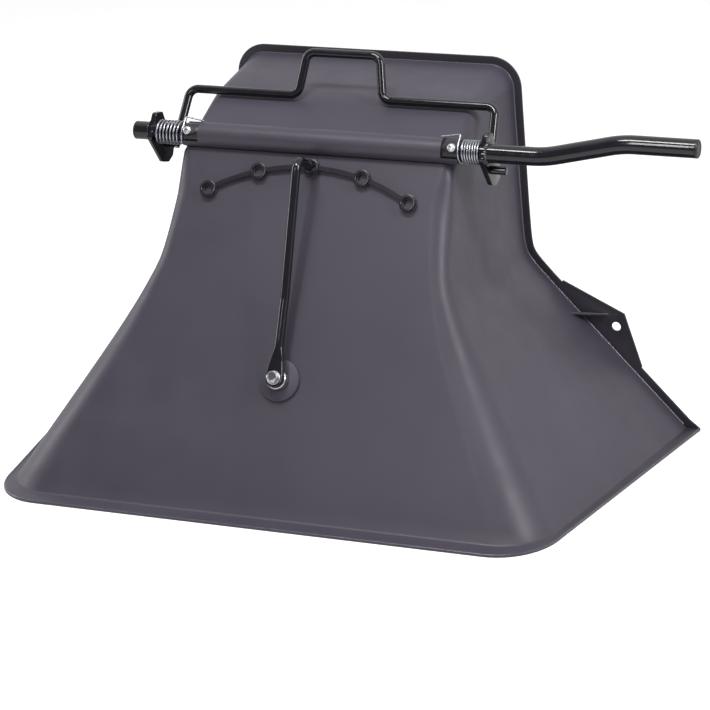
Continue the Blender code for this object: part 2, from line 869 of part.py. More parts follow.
def pivot_tube(carrier, surface):
    corners = [
        (-TUBE_LEFT_END, 0, 0),
        (CRANK_START, 0, 0),
        (CRANK_END, 0, CRANK_RISE),
        (TUBE_RIGHT_END, 0, CRANK_RISE),
    ]
    path = rounded(corners, CRANK_BEND_RADIUS, 5, closed=False)
    return mesh_object("pivot_tube", [pipe(path, TUBE_RADIUS, TUBE_WALL, 24)], surface, carrier)


def tube_plug(name, carrier, surface, place):
    """A plug whose domed head covers the tube's end. Local Z points out of the tube."""
    shank = TUBE_RADIUS - TUBE_WALL - CLEARANCE
    profile = [
        (0, -PLUG_SHANK),
        (shank, -PLUG_SHANK),
        (shank, CLEARANCE),
        (TUBE_RADIUS, CLEARANCE),
        (TUBE_RADIUS, CLEARANCE + 0.35 * PLUG_HEAD),
        (TUBE_RADIUS - 0.4 * PLUG_HEAD, CLEARANCE + 0.85 * PLUG_HEAD),
        (TUBE_RADIUS - PLUG_HEAD, CLEARANCE + PLUG_HEAD),
        (0, CLEARANCE + PLUG_HEAD),
    ]
    return mesh_object(name, [turned(profile, 24)], surface, carrier, place)


def latch_plate(name, side, carrier, surface):
    corners = [(y, z, 0) for y, z in PLATE_CORNERS]
    outline = [(point.x, point.y) for point in rounded(corners, PLATE_CORNER_RADIUS, 3)]
    stand = Matrix(((0, 0, side, side * PLATE_INNER_FACE), (1, 0, 0, 0), (0, 1, 0, 0), (0, 0, 0, 1)))
    made = mesh_object(name, [moved(prism(outline, 0, PLATE_THICKNESS), stand)], surface, carrier)
    reach = PLATE_INNER_FACE + PLATE_THICKNESS
    hole = moved(cylinder(TUBE_RADIUS + CLEARANCE, -reach - 0.01, reach + 0.01, 24), along_x())
    cutter = helper(mesh_object(f"{name}_hole", [hole], None, carrier))
    boolean(made, cutter, "DIFFERENCE")
    return made


def latch_peg(carrier, surface):
    chamfer = 0.0008
    profile = [
        (0, 0),
        (PEG_RADIUS, 0),
        (PEG_RADIUS, PEG_LENGTH - chamfer),
        (PEG_RADIUS - chamfer, PEG_LENGTH),
        (0, PEG_LENGTH),
    ]
    start = PLATE_INNER_FACE + PLATE_THICKNESS + CLEARANCE
    place = Matrix.Translation((start, PEG_BACK, -PEG_DROP)) @ Matrix.Rotation(math.radians(90), 4, "Y")
    return mesh_object("latch_peg", [turned(profile, 20)], surface, carrier, place)


def pull_bail(carrier, surface):
    foot_x = PLATE_INNER_FACE - CLEARANCE - BAIL_RADIUS
    right = [
        (foot_x, BAIL_FOOT_BACK, -BAIL_FOOT_DROP),
        (BAIL_CORNER_X, BAIL_BAR_BACK, BAIL_BAR_RISE),
        (BAIL_GRIP_FOOT_X, BAIL_BAR_BACK, BAIL_BAR_RISE),
        (BAIL_GRIP_TOP_X, BAIL_GRIP_BACK, BAIL_GRIP_RISE),
    ]
    left = [(-x, y, z) for x, y, z in reversed(right)]
    path = rounded(right + left, BAIL_BEND_RADIUS, 5, closed=False)
    return mesh_object("pull_bail", [rod(path, BAIL_RADIUS)], surface, carrier)


def screw_place(side):
    """Frame of a bush screw: origin on the tube's axis, Z out at right angles to the panel."""
    turn = Matrix.Rotation(math.radians(90) - PANEL_LEAN, 4, "X")
    return channel_place() @ Matrix.Translation((side * SCREW_X, 0, 0)) @ turn


def bearing_bush(name, side, body, surface):
    """A round bush with a drop-shaped boss for its screw, its point to the middle."""
    start = CHANNEL_HALF_LENGTH + CLEARANCE
    tube_bore = TUBE_RADIUS + CLEARANCE
    ends = sorted((side * start, side * BUSH_OUTER_END))
    sleeve = moved(collar(tube_bore, BUSH_RADIUS, *ends), channel_place() @ along_x())
    made = mesh_object(name, [sleeve], surface, body)
    tip = -(SCREW_X - start - 0.0008)
    radius = min(BUSH_BOSS_RADIUS, BUSH_OUTER_END - SCREW_X)
    outline = [(side * tip, 0.0)]
    for step in range(13):
        angle = math.radians(-120 + 20 * step)
        outline.append((side * radius * math.cos(angle), radius * math.sin(angle)))
    floor = (TUBE_RADIUS + BUSH_RADIUS) / 2
    boss = moved(prism(outline, floor, BUSH_BOSS_HEIGHT), screw_place(side))
    boolean(made, helper(mesh_object(f"{name}_boss", [boss], None, body)), "UNION")
    hole = moved(cylinder(SCREW_SHANK_RADIUS + CLEARANCE, 0.004, 0.030, 16), screw_place(side))
    boolean(made, helper(mesh_object(f"{name}_hole", [hole], None, body)), "DIFFERENCE")
    return made


def bush_screw(name, side, body, surface):
    seat = BUSH_BOSS_HEIGHT + CLEARANCE
    profile = [
        (0, SCREW_SHANK_END),
        (SCREW_SHANK_RADIUS, SCREW_SHANK_END),
        (SCREW_SHANK_RADIUS, seat),
        (SCREW_HEAD_RADIUS, seat),
        (SCREW_HEAD_RADIUS, seat + 0.45 * SCREW_HEAD_HEIGHT),
        (0.72 * SCREW_HEAD_RADIUS, seat + 0.88 * SCREW_HEAD_HEIGHT),
        (0.4 * SCREW_HEAD_RADIUS, seat + SCREW_HEAD_HEIGHT),
        (0, seat + SCREW_HEAD_HEIGHT),
    ]
    return mesh_object(name, [turned(profile, 20)], surface, body, screw_place(side))


def spring_path(outer_end):
    """The right spring's wire: over the channel, down to the coil, round it and off to the back."""
    start_angle = math.radians(135)
    end_angle = math.radians(270) + 2 * math.pi * SPRING_TURNS
    first = Vector((SPRING_INNER_END, math.cos(start_angle) * SPRING_MEAN_RADIUS, 0))
    first.z = math.sin(start_angle) * SPRING_MEAN_RADIUS
    rise = Vector((0, math.sin(start_angle), -math.cos(start_angle))) * SPRING_LEG_RISE
    top = first + rise
    rest_height = CHANNEL_RADIUS + SPRING_WIRE_RADIUS + CLEARANCE
    end = Vector((CHANNEL_HALF_LENGTH - SPRING_LEG_OVERLAP, 0.0005, rest_height))
    path = rounded([end, top, first], 0.002, 3, closed=False)[:-1]
    steps = 14 * SPRING_TURNS
    for step in range(steps + 1):
        share = step / steps
        angle = start_angle + (end_angle - start_angle) * share
        first_turn = FIRST_TURN_EXTRA * min(SPRING_TURNS * share, 1)
        x = SPRING_INNER_END + first_turn + (outer_end - FIRST_TURN_EXTRA - SPRING_INNER_END) * share
        path.append(Vector((x, math.cos(angle) * SPRING_MEAN_RADIUS, math.sin(angle) * SPRING_MEAN_RADIUS)))
    path.append(path[-1] + Vector((0, SPRING_TAIL, 0)))
    return path


def torsion_spring(name, side, body, surface):
    outer_end = RIGHT_SPRING_OUTER_END if side > 0 else LEFT_SPRING_OUTER_END
    path = [Vector((side * point.x, point.y, point.z)) for point in spring_path(outer_end)]
    solid = moved(rod(path, SPRING_WIRE_RADIUS, WIRE_SIDES), channel_place())
    return mesh_object(name, [solid], surface, body)


def eye_low():
    return PAD_HEIGHT + 2 * CLEARANCE + SPACER_HEIGHT


def adjusting_lever(lever, surface):
    """A rod from the eye on the bolt, up and away from the panel, whose tip hooks back over a boss."""
    low = eye_low()
    high = low + EYE_THICKNESS
    outline = []
    for step in range(13):
        angle = math.radians(165 + 17.5 * step)
        outline.append((EYE_RADIUS * math.cos(angle), EYE_RADIUS * math.sin(angle)))
    outline += [(0.9 * LEVER_RADIUS, EYE_NECK), (-0.9 * LEVER_RADIUS, EYE_NECK)]
    made = mesh_object("adjusting_lever", [prism(outline, low, high)], surface, lever)
    middle = (low + high) / 2
    start = EYE_RADIUS + 0.010
    rise = (LEVER_KNEE_HEIGHT - middle) / LEVER_KNEE_UP
    tip_height = BOSS_HEIGHT + LEVER_TIP_CLEARANCE
    corners = [
        (0, start, middle + rise * start),
        (0, LEVER_KNEE_UP, LEVER_KNEE_HEIGHT),
        (0, BOSS_ARC_RADIUS, LEVER_TOP_HEIGHT),
        (0, BOSS_ARC_RADIUS, tip_height),
    ]
    path = rounded(corners, LEVER_BEND_RADIUS, 6, closed=False)
    bar = helper(mesh_object("adjusting_lever_rod", [rod(path, LEVER_RADIUS)], None, lever))
    hole = cylinder(BOLT_RADIUS + CLEARANCE, low - 0.01, high + 0.01, 20)
    cutter = helper(mesh_object("adjusting_lever_hole", [hole], None, lever))
    boolean(made, bar, "UNION")
    boolean(made, cutter, "DIFFERENCE")
    return made


def lever_spacer(lever, surface):
    low = PAD_HEIGHT + CLEARANCE
    solid = collar(BOLT_RADIUS + CLEARANCE, SPACER_RADIUS, low, low + SPACER_HEIGHT, 28)
    return mesh_object("lever_spacer", [solid], surface, lever)


def lever_washer(lever, surface):
    low = eye_low() + EYE_THICKNESS + CLEARANCE
    solid = collar(BOLT_RADIUS + CLEARANCE, WASHER_RADIUS, low, low + WASHER_THICKNESS, 28)
    return mesh_object("lever_washer", [solid], surface, lever)


def vane_base_top():
    return -WALL - 2 * CLEARANCE - WASHER_THICKNESS


def nut_top():
    return vane_base_top() - VANE_BASE_THICKNESS - CLEARANCE


def lever_bolt(lever, surface):
    seat = eye_low() + EYE_THICKNESS + WASHER_THICKNESS + 2 * CLEARANCE
    made = mesh_object("lever_bolt", [prism(hexagon(BOLT_HEAD_FLATS), seat, seat + BOLT_HEAD_HEIGHT)], surface, lever)
    tail = nut_top() - NUT_HEIGHT - BOLT_TAIL
    shank = helper(mesh_object("lever_bolt_shank", [cylinder(BOLT_RADIUS, tail, seat + 0.002, 20)], None, lever))
    boolean(made, shank, "UNION")
    return made


def vane_washer(lever, surface):
    high = -WALL - CLEARANCE
    solid = collar(BOLT_RADIUS + CLEARANCE, WASHER_RADIUS, high - WASHER_THICKNESS, high, 28)
    return mesh_object("vane_washer", [solid], surface, lever)


def vane_nut(lever, surface):
    high = nut_top()
    made = mesh_object("vane_nut", [prism(hexagon(BOLT_HEAD_FLATS), high - NUT_HEIGHT, high)], surface, lever)
    hole = cylinder(BOLT_RADIUS + CLEARANCE, high - 2 * NUT_HEIGHT, high + NUT_HEIGHT, 20)
    boolean(made, helper(mesh_object("vane_nut_hole", [hole], None, lever)), "DIFFERENCE")
    return made


def guide_vane(lever, surface):
    """A flat base on the bolt with a deep blade that steers the cut grass, notched round the nut."""
    top = vane_base_top()
    low = top - VANE_BASE_THICKNESS
    half = VANE_BASE_WIDTH / 2
    corners = [(half, half, 0), (-half, half, 0), (-half, -half, 0), (half, -half, 0)]
    outline = [(point.x, point.y) for point in rounded(corners, 0.010, 4)]
    made = mesh_object("guide_vane", [prism(outline, low, top)], surface, lever)
    blade = [
        (-VANE_DOWN, low - 0.012),
        (-VANE_DOWN, low - VANE_DEPTH),
        (VANE_UP - 0.040, low - VANE_DEPTH),
        (VANE_UP, low - 0.035),
        (VANE_UP, low - 0.006),
        (VANE_NOTCH_HALF, low + VANE_BASE_THICKNESS / 2),
        (VANE_NOTCH_HALF, low - VANE_NOTCH_DEPTH),
        (-VANE_NOTCH_HALF, low - VANE_NOTCH_DEPTH),
        (-VANE_NOTCH_HALF, low + VANE_BASE_THICKNESS / 2),
    ]
    stand = Matrix(((0, 0, 1, 0), (1, 0, 0, 0), (0, 1, 0, 0), (0, 0, 0, 1)))
    web = moved(prism(blade, -VANE_THICKNESS / 2, VANE_THICKNESS / 2), stand)
    boolean(made, helper(mesh_object("guide_vane_blade", [web], None, lever)), "UNION")
    hole = cylinder(BOLT_RADIUS + CLEARANCE, low - 0.01, top + 0.01, 20)
    boolean(made, helper(mesh_object("guide_vane_hole", [hole], None, lever)), "DIFFERENCE")
    return made


def body_place():
    """Puts the middle of the bounding box's bottom face at the world's origin."""
    right_end = TUBE_RIGHT_END + CLEARANCE + PLUG_HEAD
    front = PANEL_FOOT + LIP_FRONT_WIDTH
    return Matrix.Translation(((HALF_WIDTH - right_end) / 2, front / 2, 0))


def build():
    clear_scene()
    plastic = hood_plastic()
    black = black_plastic()
    paint = black_paint()
    bright = zinc()
    steel = spring_steel()
    body = empty("deflector_body", None, body_place())
    carrier = empty("carrier_hinge", body, axis_place())
    lever = empty("lever_hinge", body, panel_place())
    hood(body, plastic)
    for name, side in (("left", -1), ("right", 1)):
        bearing_bush(f"bearing_bush_{name}", side, body, black)
        bush_screw(f"bush_screw_{name}", side, body, bright)
        torsion_spring(f"torsion_spring_{name}", side, body, steel)
        latch_plate(f"latch_plate_{name}", side, carrier, paint)
    pivot_tube(carrier, paint)
    turn = Matrix.Rotation(math.radians(90), 4, "Y")
    tube_plug("tube_plug_right", carrier, black, Matrix.Translation((TUBE_RIGHT_END, 0, CRANK_RISE)) @ turn)
    tube_plug("tube_plug_left", carrier, black, Matrix.Translation((-TUBE_LEFT_END, 0, 0)) @ turn.inverted())
    latch_peg(carrier, paint)
    pull_bail(carrier, paint)
    adjusting_lever(lever, paint)
    lever_spacer(lever, bright)
    lever_washer(lever, bright)
    lever_bolt(lever, bright)
    vane_washer(lever, bright)
    vane_nut(lever, bright)
    guide_vane(lever, vane_plastic())


build()
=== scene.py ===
"""The look of the mower discharge deflector: fine meshes for its pieces, their materials, the studio and the
camera. The pieces ride on the frame's bodies, and each one stands for a node of the frame."""

import math

import bmesh
import bpy
from mathutils import Matrix, Vector


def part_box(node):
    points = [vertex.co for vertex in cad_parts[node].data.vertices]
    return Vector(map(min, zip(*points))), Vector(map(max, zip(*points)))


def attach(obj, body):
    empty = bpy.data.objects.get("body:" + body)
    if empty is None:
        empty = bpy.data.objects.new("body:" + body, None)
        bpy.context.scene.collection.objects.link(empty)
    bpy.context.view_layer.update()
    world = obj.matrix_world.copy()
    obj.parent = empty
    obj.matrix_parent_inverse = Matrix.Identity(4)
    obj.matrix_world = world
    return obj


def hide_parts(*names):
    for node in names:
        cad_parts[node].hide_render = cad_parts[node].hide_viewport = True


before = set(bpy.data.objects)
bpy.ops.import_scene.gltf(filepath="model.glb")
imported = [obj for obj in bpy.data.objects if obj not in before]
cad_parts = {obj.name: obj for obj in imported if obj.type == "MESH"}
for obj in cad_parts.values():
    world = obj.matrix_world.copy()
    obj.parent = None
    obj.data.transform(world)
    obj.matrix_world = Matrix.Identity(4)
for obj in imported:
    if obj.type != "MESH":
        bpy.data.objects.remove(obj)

# The object's sizes, in metres

# The gap between pieces, and how far a cutter goes on beyond what it cuts
CLEARANCE = 0.0003
THROUGH = 0.0100

# Hood, outer faces
HALF_WIDTH = 0.4190
LIP_REAR_WIDTH = 0.0140
LIP_CORNER_WIDTH = 0.0075
LIP_FRONT_WIDTH = 0.0240
LIP_THICKNESS = 0.0030
LIP_FILLET = 0.0022
FLANGE_WIDTH = 0.0102
FLANGE_THICKNESS = 0.0030
WALL = 0.0030
ROOF_HEIGHT = 0.4600
ROOF_SLOPE = math.radians(10.5)
ROOF_BREAK_DEPTH = 0.1115
ROOF_FRONT_SLOPE = math.radians(25.9)
ROOF_BREAK_SOFTNESS = 0.0100
PANEL_FOOT = 0.4312
PANEL_LEAN = math.radians(29.3)
REAR_BEND_HEIGHT = 0.2180
REAR_BEND_HALF_WIDTH = 0.1905
REAR_TOP_HALF_WIDTH = 0.1810
REAR_BEND_SOFTNESS = 0.0120
FRONT_BEND_HEIGHT = 0.2620
FRONT_BEND_HALF_WIDTH = 0.1845
FRONT_TOP_HALF_WIDTH = 0.1740
FRONT_TOP_HEIGHT = 0.4056
FRONT_FOOT_HALF_WIDTH = 0.3450
FRONT_BEND_SOFTNESS = 0.0220

# How far the rounded corner between side and roof or panel reaches, at fan angles from the back plane
CORNER_REACH = (
    (0, 0.028),
    (12, 0.018),
    (20, 0.014),
    (29, 0.012),
    (34, 0.024),
    (43, 0.020),
    (49, 0.021),
    (60, 0.034),
    (70, 0.040),
    (80, 0.044),
    (90, 0.055),
)

# The shell's mesh: columns from the foot up the side and round the corner, and rows over roof and panel.
# The bend's columns lie between two shares of its height. The rim's top is the row of the lip's upper edge.
FLARE_STEPS = (0.0, 0.035, 0.07, 0.17, 0.27, 0.385, 0.5, 0.625, 0.75, 0.875)
BEND_STEPS = 12
UPPER_STEPS = 6
CORNER_STEPS = 14
FLAT_STEPS = 4
ROOF_ROWS = 14
PANEL_ROWS = 32
RIM_TOP = ROOF_ROWS + PANEL_ROWS + 5
BEND_START = 0.86
BEND_FINISH = 1.16
LEAST_CORNER_REACH = 0.0040
SLOPE_STEP = 0.0010

# Side lugs in the flange's plane, with their gussets
LUG_HOLE_X = 0.3108
LUG_HOLE_Z = 0.1297
LUG_HOLE_RADIUS = 0.0060
LUG_TOP_X = 0.2410
LUG_TOP_Z = 0.1850
LUG_CORNER_X = 0.3215
LUG_CORNER_Z = 0.1470
LUG_FOOT_X = 0.3440
LUG_FOOT_Z = 0.0785
LUG_ROOT_DEPTH = 0.0090
LUG_FOOT_DROP = 0.0020
GUSSET_TIP_X = 0.3020
GUSSET_TIP_Z = 0.1450
GUSSET_FRONT = 0.0240
GUSSET_UPPER_Z = 0.1500

# Pivot tube with its crank. Its axis is placed from the crease between roof and panel.
AXIS_UP = 0.01683
AXIS_PROUD = 0.00106
TUBE_RADIUS = 0.01125
TUBE_WALL = 0.0020
TUBE_LEFT_END = 0.2387
TUBE_RIGHT_END = 0.4750
CRANK_START = 0.2910
CRANK_END = 0.3865
CRANK_RISE = 0.0220
CRANK_BEND_RADIUS = 0.1400
PLUG_HEAD = 0.0027
PLUG_SHANK = 0.0140

# Half-round channel that covers the tube, and the pockets at its ends. Its middle, from which the pockets,
# bushes and springs are measured, lies a little to the right of the hood's.
CHANNEL_OFFSET = 0.0070
CHANNEL_RADIUS = 0.0155
CHANNEL_BORE_CLEARANCE = 0.0009
CHANNEL_HALF_LENGTH = 0.1585
CRADLE_HALF_LENGTH = 0.1790
POCKET_LOWER = 0.0118
POCKET_UPPER = 0.0210
POCKET_FLOOR = 0.0005

# Bearing bushes and their screws
BUSH_RADIUS = 0.0132
BUSH_OUTER_END = 0.1782
BUSH_BOSS_HEIGHT = 0.0150
BUSH_BOSS_RADIUS = 0.0058
BUSH_SEAT_INSET = 0.0008
SCREW_X = 0.1722
SCREW_HEAD_RADIUS = 0.0053
SCREW_HEAD_HEIGHT = 0.0034
SCREW_SHANK_RADIUS = 0.0020
SCREW_SHANK_END = 0.0117
SCREW_HOLE_START = 0.0040
SCREW_HOLE_END = 0.0300

# Torsion springs. The right one is pressed a little shorter by its latch plate.
SPRING_WIRE_RADIUS = 0.0010
SPRING_MEAN_RADIUS = 0.0140
SPRING_TURNS = 7
SPRING_INNER_END = 0.1795
LEFT_SPRING_OUTER_END = 0.2155
RIGHT_SPRING_OUTER_END = 0.2052
FIRST_TURN_EXTRA = 0.0022
SPRING_LEG_RISE = 0.0154
SPRING_LEG_OVERLAP = 0.0035
SPRING_TAIL = 0.0130
SPRING_LEG_BACK = 0.0005
SPRING_STEPS = 40

# Latch plates and the peg on the right one
PLATE_INNER_FACE = 0.2135
PLATE_THICKNESS = 0.0060
PLATE_CORNERS = (
    (0.0030, 0.0225),
    (0.0195, 0.0200),
    (0.0280, 0.0030),
    (0.0450, -0.0325),
    (0.0410, -0.0420),
    (0.0285, -0.0470),
    (0.0145, -0.0435),
    (-0.0165, -0.0045),
)
PLATE_CORNER_RADIUS = 0.0050
PEG_RADIUS = 0.0052
PEG_LENGTH = 0.0195
PEG_BACK = 0.0112
PEG_DROP = 0.0234

# Pull bail, a bent rod, measured from the tube's axis
BAIL_RADIUS = 0.00535
BAIL_FOOT_BACK = 0.0370
BAIL_FOOT_DROP = 0.0300
BAIL_CORNER_X = 0.2025
BAIL_BAR_BACK = 0.0800
BAIL_BAR_RISE = 0.0345
BAIL_GRIP_FOOT_X = 0.0560
BAIL_GRIP_TOP_X = 0.0480
BAIL_GRIP_BACK = 0.0970
BAIL_GRIP_RISE = 0.0850
BAIL_BEND_RADIUS = 0.0120

# Lever's pivot on the panel, and the arc of bosses round it, whose top lies below the tube's axis
ARC_DROP = 0.0330
PAD_RADIUS = 0.0257
PAD_HEIGHT = 0.0040
BOSS_ARC_RADIUS = 0.2609
BOSS_STEP = math.radians(15)
BOSS_COUNT = 5
BOSS_RADIUS = 0.0105
BOSS_BORE_RADIUS = 0.0072
BOSS_HEIGHT = 0.0080
BOSS_FLOOR = 0.0004
RIB_WIDTH = 0.0055
RIB_HEIGHT = 0.0060
RIB_STEPS = 10

# Lever, its bolt and what the bolt clamps
BOLT_RADIUS = 0.0040
BOLT_HOLE_CLEARANCE = 0.0005
BOLT_HEAD_FLATS = 0.0130
BOLT_HEAD_HEIGHT = 0.0053
BOLT_TAIL = 0.0045
SPACER_RADIUS = 0.0125
SPACER_HEIGHT = 0.0102
SPACER_EDGE = 0.0006
EYE_RADIUS = 0.0110
EYE_THICKNESS = 0.0055
EYE_NECK = 0.0360
EYE_SQUARENESS = 8.0
LEVER_RADIUS = 0.0055
LEVER_KNEE_UP = 0.0950
LEVER_KNEE_HEIGHT = 0.0235
LEVER_TOP_HEIGHT = 0.0505
LEVER_BEND_RADIUS = 0.0120
LEVER_TIP_CLEARANCE = 0.0004
LEVER_TIP_SOFTNESS = 0.0015
WASHER_RADIUS = 0.0085
WASHER_THICKNESS = 0.0016
WASHER_EDGE = 0.0002
NUT_HEIGHT = 0.0080
NUT_HEXAGON_START = 0.0016
NUT_COLLAR_RADIUS = 0.0054
NUT_COLLAR_HEIGHT = 0.0030
NUT_RING_RADIUS = 0.0047

# Guide vane inside the hood
VANE_BASE_WIDTH = 0.0440
VANE_BASE_THICKNESS = 0.0040
VANE_UP = 0.1500
VANE_DOWN = 0.0700
VANE_DEPTH = 0.0850
VANE_THICKNESS = 0.0040
VANE_NOTCH_HALF = 0.0120
VANE_NOTCH_DEPTH = 0.0300
VANE_CORNER_RADIUS = 0.0100
VANE_FOOT_DROP = 0.0120
VANE_TIP_DROP = 0.0060
VANE_TIP_LOW = 0.0350
VANE_SLANT = 0.0400

ROUND_SIDES = 64
ROD_SIDES = 40
WIRE_SIDES = 14

# Finer detail that the frame's solids don't have
RIM_RADIUS = 0.0011
RIM_STEPS = 3
BEAD_RADIUS = 0.0012
BEAD_SIDES = 10
GUSSET_THICKNESS = 0.0020
BOSS_STEP_RADIUS = 0.0056
BOSS_STEP_HEIGHT = 0.0030
BOSS_EDGE = 0.0009
PAD_EDGE = 0.0012
WELD_SIZE = 0.0030
WELD_SINK = 0.0004
WELD_RIPPLES = 26
BAIL_WELD_START = 0.0020
BAIL_WELD_LENGTH = 0.0200
BAIL_WELD_RADIUS = 0.0013
BAIL_WELD_RIPPLE = 0.0005
BAIL_WELD_STEPS = 28
BAIL_WELD_INSET = 0.0011
PLATE_EDGE = 0.0007
PEG_EDGE = 0.0012
BUSH_EDGE = 0.0004
VANE_EDGE = 0.0006
LEVER_SPACING = 0.0016
HEXAGON_CUT = 0.0011
SCREW_RIM = 0.0009
SCREW_RECESS_RADIUS = 0.0024
SCREW_RECESS_DEPTH = 0.0020
BOLT_DISH_RADIUS = 0.0042
BOLT_DISH_DEPTH = 0.0007
THREAD_PITCH = 0.00125
THREAD_DEPTH = 0.0005
PLUG_GROOVE = 0.0005
EDGE_ANGLE = math.radians(32)

# Camera, in the hood's own frame: where it stands and how it looks
CAMERA_PLACE = (1.40035, -3.41412, 1.36908)
CAMERA_YAW = math.radians(23.0)
CAMERA_ELEVATION = math.radians(19.48)
CAMERA_ROLL = math.radians(-2.62)
CAMERA_FOCAL_PIXELS = 3000
PHOTO_WIDTH_PIXELS = 710
SENSOR_WIDTH_MM = 36.0

# Studio
FLOOR_SIZE = 24.0
FLOOR_LIFT = 0.62
FLOOR_MIRROR = 0.20
WORLD_LIGHT = 0.20
ROOM_LIGHT = 0.20


def circle(radius, sides):
    """Points round local Z, as (x, y)."""
    angles = [2 * math.pi * step / sides for step in range(sides)]
    return [(radius * math.cos(angle), radius * math.sin(angle)) for angle in angles]


def turned(profile, sides=ROUND_SIDES):
    """A solid of revolution round local Z. The profile holds (radius, height) and is a closed outline,
    unless it starts and ends on the axis."""
    points = []
    faces = []
    rings = []
    for radius, height in profile:
        if radius == 0:
            rings.append([len(points)] * sides)
            points.append((0.0, 0.0, height))
            continue
        rings.append(list(range(len(points), len(points) + sides)))
        points += [(x, y, height) for x, y in circle(radius, sides)]
    pairs = list(zip(rings, rings[1:]))
    if profile[0][0] > 0:
        pairs.append((rings[-1], rings[0]))
    for first, second in pairs:
        for step in range(sides):
            after = (step + 1) % sides
            corners = [first[step], first[after], second[after], second[step]]
            face = [corner for place, corner in enumerate(corners) if corner not in corners[:place]]
            if len(face) > 2:
                faces.append(face)
    return points, faces


def cylinder(radius, low, high, sides=ROUND_SIDES):
    return turned([(0, low), (radius, low), (radius, high), (0, high)], sides)


def collar(bore, radius, low, high, sides=ROUND_SIDES):
    return turned([(bore, low), (radius, low), (radius, high), (bore, high)], sides)


def prism(outline, low, high):
    """An outline in local XY, drawn out along Z."""
    count = len(outline)
    points = [(x, y, low) for x, y in outline] + [(x, y, high) for x, y in outline]
    faces = [list(range(count)), list(range(count, 2 * count))]
    for step in range(count):
        after = (step + 1) % count
        faces.append([step, after, after + count, step + count])
    return points, faces


def moved(solid, matrix):
    points, faces = solid
    return [matrix @ Vector(point) for point in points], faces


def mirrored(points):
    return [Vector((-point.x, point.y, point.z)) for point in points]


def rounded(corners, radius, steps, closed=True):
    """The corners as vectors, each inner one replaced by an arc of the radius."""
    corners = [Vector(corner) for corner in corners]
    count = len(corners)
    path = []
    for place, corner in enumerate(corners):
        if not closed and place in (0, count - 1):
            path.append(corner)
            continue
        back = (corners[place - 1] - corner).normalized()
        ahead = (corners[(place + 1) % count] - corner).normalized()
        half = back.angle(ahead) / 2
        reach = radius / math.tan(half)
        middle = corner + (back + ahead).normalized() * (radius / math.sin(half))
        start = corner + back * reach - middle
        end = corner + ahead * reach - middle
        turn = start.angle(end)
        for step in range(steps + 1):
            share = step / steps
            blend = start * math.sin((1 - share) * turn) + end * math.sin(share * turn)
            path.append(middle + blend / math.sin(turn))
    return path


def frames_along(path):
    """A pair of cross directions at each point, carried along without twist."""
    tangents = []
    for place in range(len(path)):
        before = path[max(place - 1, 0)]
        after = path[min(place + 1, len(path) - 1)]
        tangents.append((after - before).normalized())
    guide = Vector((0, 0, 1)) if abs(tangents[0].z) < 0.9 else Vector((1, 0, 0))
    side = tangents[0].cross(guide).normalized()
    frames = []
    for tangent in tangents:
        side = (side - tangent * side.dot(tangent)).normalized()
        frames.append((side, tangent.cross(side)))
    return frames


def rings_along(path, radius, sides):
    """Rings of points round the path. The radius is one number, or a list with one for each point."""
    radii = radius if isinstance(radius, list) else [radius] * len(path)
    points = []
    for centre, size, (side, up) in zip(path, radii, frames_along(path)):
        points += [centre + side * x + up * y for x, y in circle(size, sides)]
    return points


def ring_walls(count, sides, start=0):
    faces = []
    for ring in range(count - 1):
        for step in range(sides):
            after = (step + 1) % sides
            low = start + ring * sides
            high = low + sides
            faces.append([low + step, low + after, high + after, high + step])
    return faces


def closed_bar(points, sides):
    """A solid from rings of points, one after the other, with a face at each end."""
    faces = ring_walls(len(points) // sides, sides)
    faces.append(list(range(sides)))
    faces.append(list(range(len(points) - sides, len(points))))
    return points, faces


def rod(path, radius, sides=ROD_SIDES):
    """A solid round bar along the path."""
    return closed_bar(rings_along(path, radius, sides), sides)


def pipe(path, radius, wall, sides=ROD_SIDES):
    """A round tube along the path, open at both ends."""
    outside = rings_along(path, radius, sides)
    inside = rings_along(path, radius - wall, sides)
    shift = len(outside)
    faces = ring_walls(len(path), sides) + ring_walls(len(path), sides, shift)
    last = shift - sides
    for step in range(sides):
        after = (step + 1) % sides
        faces.append([step, after, after + shift, step + shift])
        faces.append([last + step, last + after, last + after + shift, last + step + shift])
    return outside + inside, faces


def along_x():
    """Turns local Z to +X."""
    return Matrix.Rotation(math.radians(90), 4, "Y")


def panel_turn():
    """Turns local Z from up to straight out of the panel."""
    return Matrix.Rotation(math.radians(90) - PANEL_LEAN, 4, "X")


def towards_front():
    """Turns local Z to the front and local Y up."""
    return Matrix.Rotation(math.radians(90), 4, "X")


def hexagon(flats):
    return circle(flats / math.sqrt(3), 6)


def reach_at(angle):
    degrees = math.degrees(angle)
    for (low, first), (high, second) in zip(CORNER_REACH, CORNER_REACH[1:]):
        if degrees <= high:
            return first + (second - first) * max(degrees - low, 0) / (high - low)
    return CORNER_REACH[-1][1]


def soft_positive(value, softness):
    """Zero below zero and the value above it, with a rounded change between."""
    return (value + math.hypot(value, softness)) / 2


def side_profile(height, top, bend, foot, softness):
    """Half-width against height: a steep upper wall, a soft bend and a flare down to the foot. The top and
    the bend are (height, half-width)."""
    upper_slope = (bend[1] - top[1]) / (top[0] - bend[0])
    flare_slope = (foot - bend[1]) / bend[0] - upper_slope
    upper = bend[1] + upper_slope * (bend[0] - height)
    return upper + flare_slope * soft_positive(bend[0] - height, softness)


def panel_depth(height):
    return -PANEL_FOOT + height * math.tan(PANEL_LEAN)


